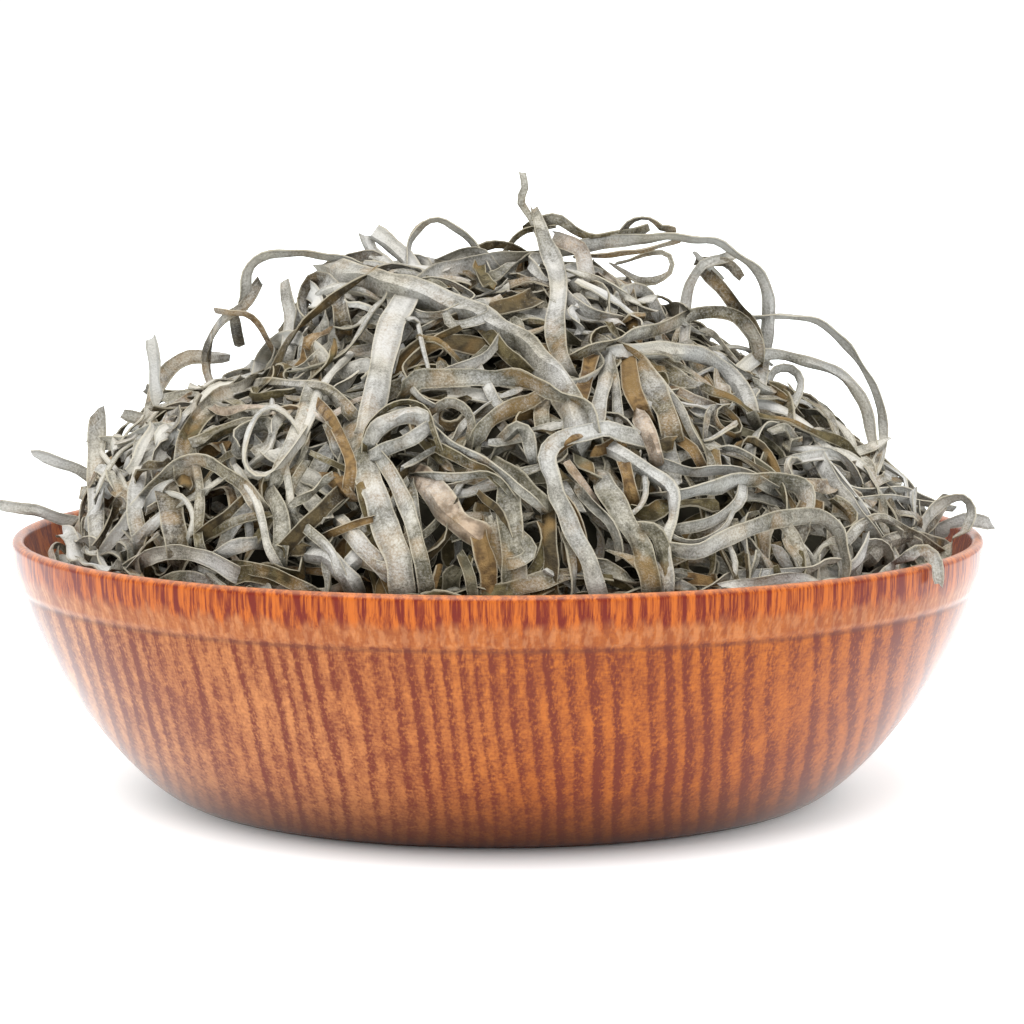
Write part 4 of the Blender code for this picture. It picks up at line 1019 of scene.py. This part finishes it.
def worked_out(tree, operation, *values):
    inputs = dict(enumerate(values))
    return add(tree, "ShaderNodeMath", inputs, operation=operation).outputs[0]


def times(tree, first, second):
    return worked_out(tree, "MULTIPLY", first, second)


def times_plus(tree, first, second, third):
    return worked_out(tree, "MULTIPLY_ADD", first, second, third)


def minus(tree, first, second):
    return worked_out(tree, "SUBTRACT", first, second)


def noise(tree, vector, scale, detail=2.0, roughness=0.5):
    inputs = {"Vector": vector, "Scale": scale, "Detail": detail, "Roughness": roughness}
    return add(tree, "ShaderNodeTexNoise", inputs).outputs["Fac"]


def between(tree, value, low, high):
    """0 up to low, 1 from high, smooth between."""
    inputs = {"Value": value, "From Min": low, "From Max": high}
    return add(tree, "ShaderNodeMapRange", inputs, interpolation_type="SMOOTHSTEP").outputs[0]


def near(tree, value, middle, reach):
    """1 at the middle, 0 beyond reach of it."""
    off = worked_out(tree, "ABSOLUTE", minus(tree, value, middle))
    return minus(tree, 1.0, between(tree, off, 0.0, reach))


def blend(tree, factor, first, second):
    """The first colour, and more of the second as the factor grows."""
    inputs = {0: factor, 6: first, 7: second}
    return add(tree, "ShaderNodeMix", inputs, data_type="RGBA").outputs[2]


def object_place(tree):
    return add(tree, "ShaderNodeTexCoord", {}).outputs["Object"]


def split(tree, vector):
    return add(tree, "ShaderNodeSeparateXYZ", {0: vector}).outputs


def stretched(tree, place, scale):
    return add(tree, "ShaderNodeMapping", {"Vector": place, "Scale": scale}).outputs[0]


def bumped(tree, shader, height, strength, distance):
    inputs = {"Strength": strength, "Distance": distance, "Height": height}
    feed(tree, shader.inputs["Normal"], add(tree, "ShaderNodeBump", inputs).outputs["Normal"])


def powder_cover(group, place, grain, shade, dusting):
    """How much powder lies on the skin: in drifts, blotches and patches, by the grain, and by the
    shade value, which carries painted light and shade.
    """
    drift = noise(group, place, 60.0, 1.0)
    blotch = noise(group, place, 120.0, 2.0, 0.55)
    patch = noise(group, place, 450.0, 2.0, 0.6)
    cover = times_plus(group, blotch, 1.3, times(group, patch, 0.7))
    cover = worked_out(group, "ADD", cover, grain)
    cover = times_plus(group, shade, 0.8, cover)
    cover = times_plus(group, drift, 1.2, cover)
    cover = worked_out(group, "ADD", cover, dusting)
    return between(group, cover, 2.2, 3.85), between(group, patch, 0.35, 0.65)


def shred_surface():
    """The group all kelp shares: a dark skin under patchy powder, with pale torn edges."""
    group = bpy.data.node_groups.new("shred surface", "ShaderNodeTree")
    for name in ("Deep", "Skin", "Powder", "Edge"):
        group.interface.new_socket(name=name, in_out="INPUT", socket_type="NodeSocketColor")
    group.interface.new_socket(name="Dusting", in_out="INPUT", socket_type="NodeSocketFloat")
    group.interface.new_socket(name="Color", in_out="OUTPUT", socket_type="NodeSocketColor")
    group.interface.new_socket(name="Height", in_out="OUTPUT", socket_type="NodeSocketFloat")
    given = group.nodes.new("NodeGroupInput").outputs
    result = group.nodes.new("NodeGroupOutput").inputs
    strip = add(group, "ShaderNodeAttribute", {}, attribute_name="strip").outputs["Vector"]
    across, _, shade = split(group, strip)
    place = object_place(group)
    fibre_place = stretched(group, strip, (3.5, 330.0, 37.0))
    fibre = noise(group, fibre_place, 1.0, 3.0, 0.6)
    speck = noise(group, place, 2600.0, 1.0, 0.7)
    grain = times_plus(group, fibre, 0.5, times(group, speck, 1.2))
    dust, patchy = powder_cover(group, place, grain, shade, given["Dusting"])
    skin = blend(group, patchy, given["Deep"], given["Skin"])
    stain = times(group, between(group, noise(group, place, 140.0), 0.5, 0.66), 0.85)
    skin = blend(group, stain, skin, OCHRE)
    warm = times(group, between(group, noise(group, place, 85.0, 1.0), 0.4, 0.65), 0.45)
    powder = blend(group, warm, given["Powder"], given["Edge"])
    colour = blend(group, dust, skin, powder)
    outward = worked_out(group, "ABSOLUTE", across)
    seam = times(group, between(group, outward, 0.5, 0.72), 0.3)
    colour = blend(group, seam, colour, given["Deep"])
    rim = times(group, between(group, outward, 0.82, 1.0), 0.5)
    feed(group, result["Color"], blend(group, rim, colour, given["Edge"]))
    feed(group, result["Height"], grain)
    return group


def kelp_material(kind, group):
    _, deep, skin, dusting = KINDS[kind]
    material, shader, tree = new_material(f"kelp {kind}", 0.82, 0.3)
    inputs = {"Deep": deep, "Skin": skin, "Powder": POWDER, "Edge": TORN_EDGE, "Dusting": dusting}
    surface = add(tree, "ShaderNodeGroup", inputs, node_tree=group).outputs
    feed(tree, shader.inputs["Base Color"], surface["Color"])
    bumped(tree, shader, surface["Height"], 0.45, 0.0004)
    return material


def core_material():
    material, shader, tree = new_material("kelp depths", 0.95, 0.2)
    clumps = noise(tree, object_place(tree), 260.0, 3.0)
    # Painted shade: kelp darker than any shred, standing for the shade deep between the shreds.
    feed(tree, shader.inputs["Base Color"], blend(tree, clumps, CORE_DARK, CORE_PALE))
    return material


def grown_rings(tree, place):
    """How dark the growth rings are: leaning sheets of wood, closer together on the left."""
    drift = stretched(tree, place, (1.0, 0.5, 0.3))
    x, y, z = split(tree, place)
    depth = minus(tree, RIM_HEIGHT * MM, z)
    lean = times_plus(tree, x, -1.5, 0.17)
    across = minus(tree, x, times(tree, lean, depth))
    across = times_plus(tree, y, 0.12, across)
    spread = times(tree, worked_out(tree, "POWER", across, 2.0), -750.0)
    wander = times(tree, noise(tree, drift, 38.0), 2.6)
    count = worked_out(tree, "ADD", times_plus(tree, across, 300.0, spread), wander)
    ring = worked_out(tree, "FRACT", count)
    number = worked_out(tree, "FLOOR", count)
    chance = add(tree, "ShaderNodeTexWhiteNoise", {"W": number}, noise_dimensions="1D")
    fade = minus(tree, 1.0, between(tree, ring, 0.22, 0.85))
    dark = times(tree, between(tree, ring, 0.0, 0.25), fade)
    cluster = between(tree, noise(tree, drift, 70.0, 1.0), 0.35, 0.65)
    least = times_plus(tree, cluster, 0.45, 0.2)
    return times(tree, dark, times_plus(tree, chance.outputs["Value"], 0.7, least))


def banded(tree, place, height, rings, body):
    """The body's colour with the band round the top: red streaks over a paler broken strip."""
    foot = BAND_FOOT * MM
    upright = stretched(tree, place, (1.0, 1.0, 0.3))
    broken = between(tree, noise(tree, upright, 900.0, 2.0, 0.6), 0.42, 0.62)
    strip = blend(tree, broken, STRIP_DARK, STRIP_PALE)
    in_band = times(tree, between(tree, height, foot, foot + 1.0 * MM), 0.55)
    colour = blend(tree, in_band, body, strip)
    streak = noise(tree, stretched(tree, place, (1.0, 1.0, 0.04)), 1300.0, 4.0, 0.75)
    streak = between(tree, times_plus(tree, rings, 0.14, streak), 0.40, 0.66)
    edge = times_plus(tree, noise(tree, upright, 500.0), 5.0 * MM, height)
    in_red = between(tree, edge, (RIM_HEIGHT - 4.2) * MM, (RIM_HEIGHT - 1.6) * MM)
    colour = blend(tree, in_red, colour, blend(tree, streak, STREAK_BRIGHT, STREAK_DARK))
    shadow = times(tree, near(tree, height, foot - 0.1 * MM, 0.7 * MM), 0.4)
    colour = blend(tree, shadow, colour, BAND_SHADOW)
    lit = times(tree, near(tree, height, RIM_HEIGHT * MM, 0.9 * MM), 0.25)
    return blend(tree, lit, colour, LIP_SHINE)


def wood_material():
    """Lacquered wood: leaning growth rings with fine upright pores, and a red streaked band."""
    material, shader, tree = new_material("lacquered wood", 0.4, 0.05)
    place = object_place(tree)
    rings = grown_rings(tree, place)
    side, _, height = split(tree, place)
    pores = noise(tree, stretched(tree, place, (1.0, 1.0, 0.3)), 2300.0, 2.0, 0.6)
    fleck = noise(tree, stretched(tree, place, (0.35, 0.35, 1.0)), 2600.0, 2.0, 0.6)
    fibre = noise(tree, stretched(tree, place, (1.0, 1.0, 0.03)), 420.0, 3.0, 0.6)
    grain = times_plus(tree, pores, 1.0, times(tree, fleck, 0.9))
    stipple = times_plus(tree, pores, 1.5, -0.2)
    dark = times_plus(tree, rings, stipple, times(tree, grain, 0.75))
    dark = times_plus(tree, fibre, 0.9, dark)
    dark = times_plus(tree, noise(tree, place, 55.0, 1.0), 0.5, dark)
    # Partly painted sheen: the body is paler on the left, where the lacquer reflects white, and
    # deeper orange on the right.
    shade = times_plus(tree, noise(tree, place, 26.0, 1.0), 0.05, side)
    body_colour_and_sheen = blend(tree, between(tree, shade, -0.06, 0.05), WOOD_LEFT_WITH_SHEEN, WOOD_RIGHT)
    body = blend(tree, between(tree, dark, 0.95, 1.98), body_colour_and_sheen, WOOD_RING)
    # Painted shade: the body darkens towards its base, where the floor's shade falls.
    low = times(tree, near(tree, height, 0.0, 15.0 * MM), 0.75)
    body = blend(tree, low, body, PAINTED_FOOT_SHADE)
    feed(tree, shader.inputs["Base Color"], banded(tree, place, height, rings, body))
    bumped(tree, shader, pores, 0.1, 0.0002)
    shader.inputs["Coat Weight"].default_value = 1.0
    shader.inputs["Coat Roughness"].default_value = 0.2
    shader.inputs["Coat IOR"].default_value = 1.22
    return material


# ---- Stage ----

def floor_material():
    """Plain white with a painted glow of its own that washes out its shade, but not under the
    bowl's front and back.
    """
    material, shader, tree = new_material("pale floor", 0.6, 0.5)
    place = stretched(tree, object_place(tree), (1.45, 1.0, 1.0))
    # Painted light: the floor glows away from the bowl's base, which whitens the shade there.
    reach = add(tree, "ShaderNodeVectorMath", {0: place}, operation="LENGTH").outputs["Value"]
    away = between(tree, reach, BASE_RADIUS * MM, 1.15 * RIM_RADIUS * MM)
    feed(tree, shader.inputs["Emission Color"], blend(tree, away, (0.0, 0.0, 0.0), FLOOR_GLOW))
    shader.inputs["Emission Strength"].default_value = 0.45
    feed(tree, shader.inputs["Base Color"], FLOOR_WHITE)
    return material


def set_floor():
    bm = bmesh.new()
    bmesh.ops.create_grid(bm, x_segments=1, y_segments=1, size=6.0)
    linked(mesh_from(bm, "floor"), floor_material())


def set_light():
    world = bpy.data.worlds.new("soft white")
    world.use_nodes = True
    background = world.node_tree.nodes["Background"].inputs
    background["Color"].default_value = (1.0, 1.0, 1.0, 1.0)
    background["Strength"].default_value = 1.1
    bpy.context.scene.world = world
    lamp = bpy.data.lights.new("overhead", "SUN")
    lamp.energy = 2.6
    lamp.angle = math.radians(50)
    overhead = bpy.data.objects.new("overhead", lamp)
    overhead.rotation_euler = (math.radians(20), math.radians(-6), 0.0)
    bpy.context.scene.collection.objects.link(overhead)
    bpy.context.scene.view_settings.view_transform = "Standard"


def set_camera():
    data = bpy.data.cameras.new("camera")
    data.sensor_width = SENSOR
    data.lens = LENS
    camera = bpy.data.objects.new("camera", data)
    bpy.context.scene.collection.objects.link(camera)
    camera.location = EYE * MM
    camera.rotation_euler = (math.radians(90 - PITCH), 0.0, 0.0)
    bpy.context.scene.camera = camera


set_camera()
set_floor()
set_light()
make_bowl(wood_material())
make_core(core_material())
kelp_surface = shred_surface()
make_shreds({kind: kelp_material(kind, kelp_surface) for kind in KINDS})
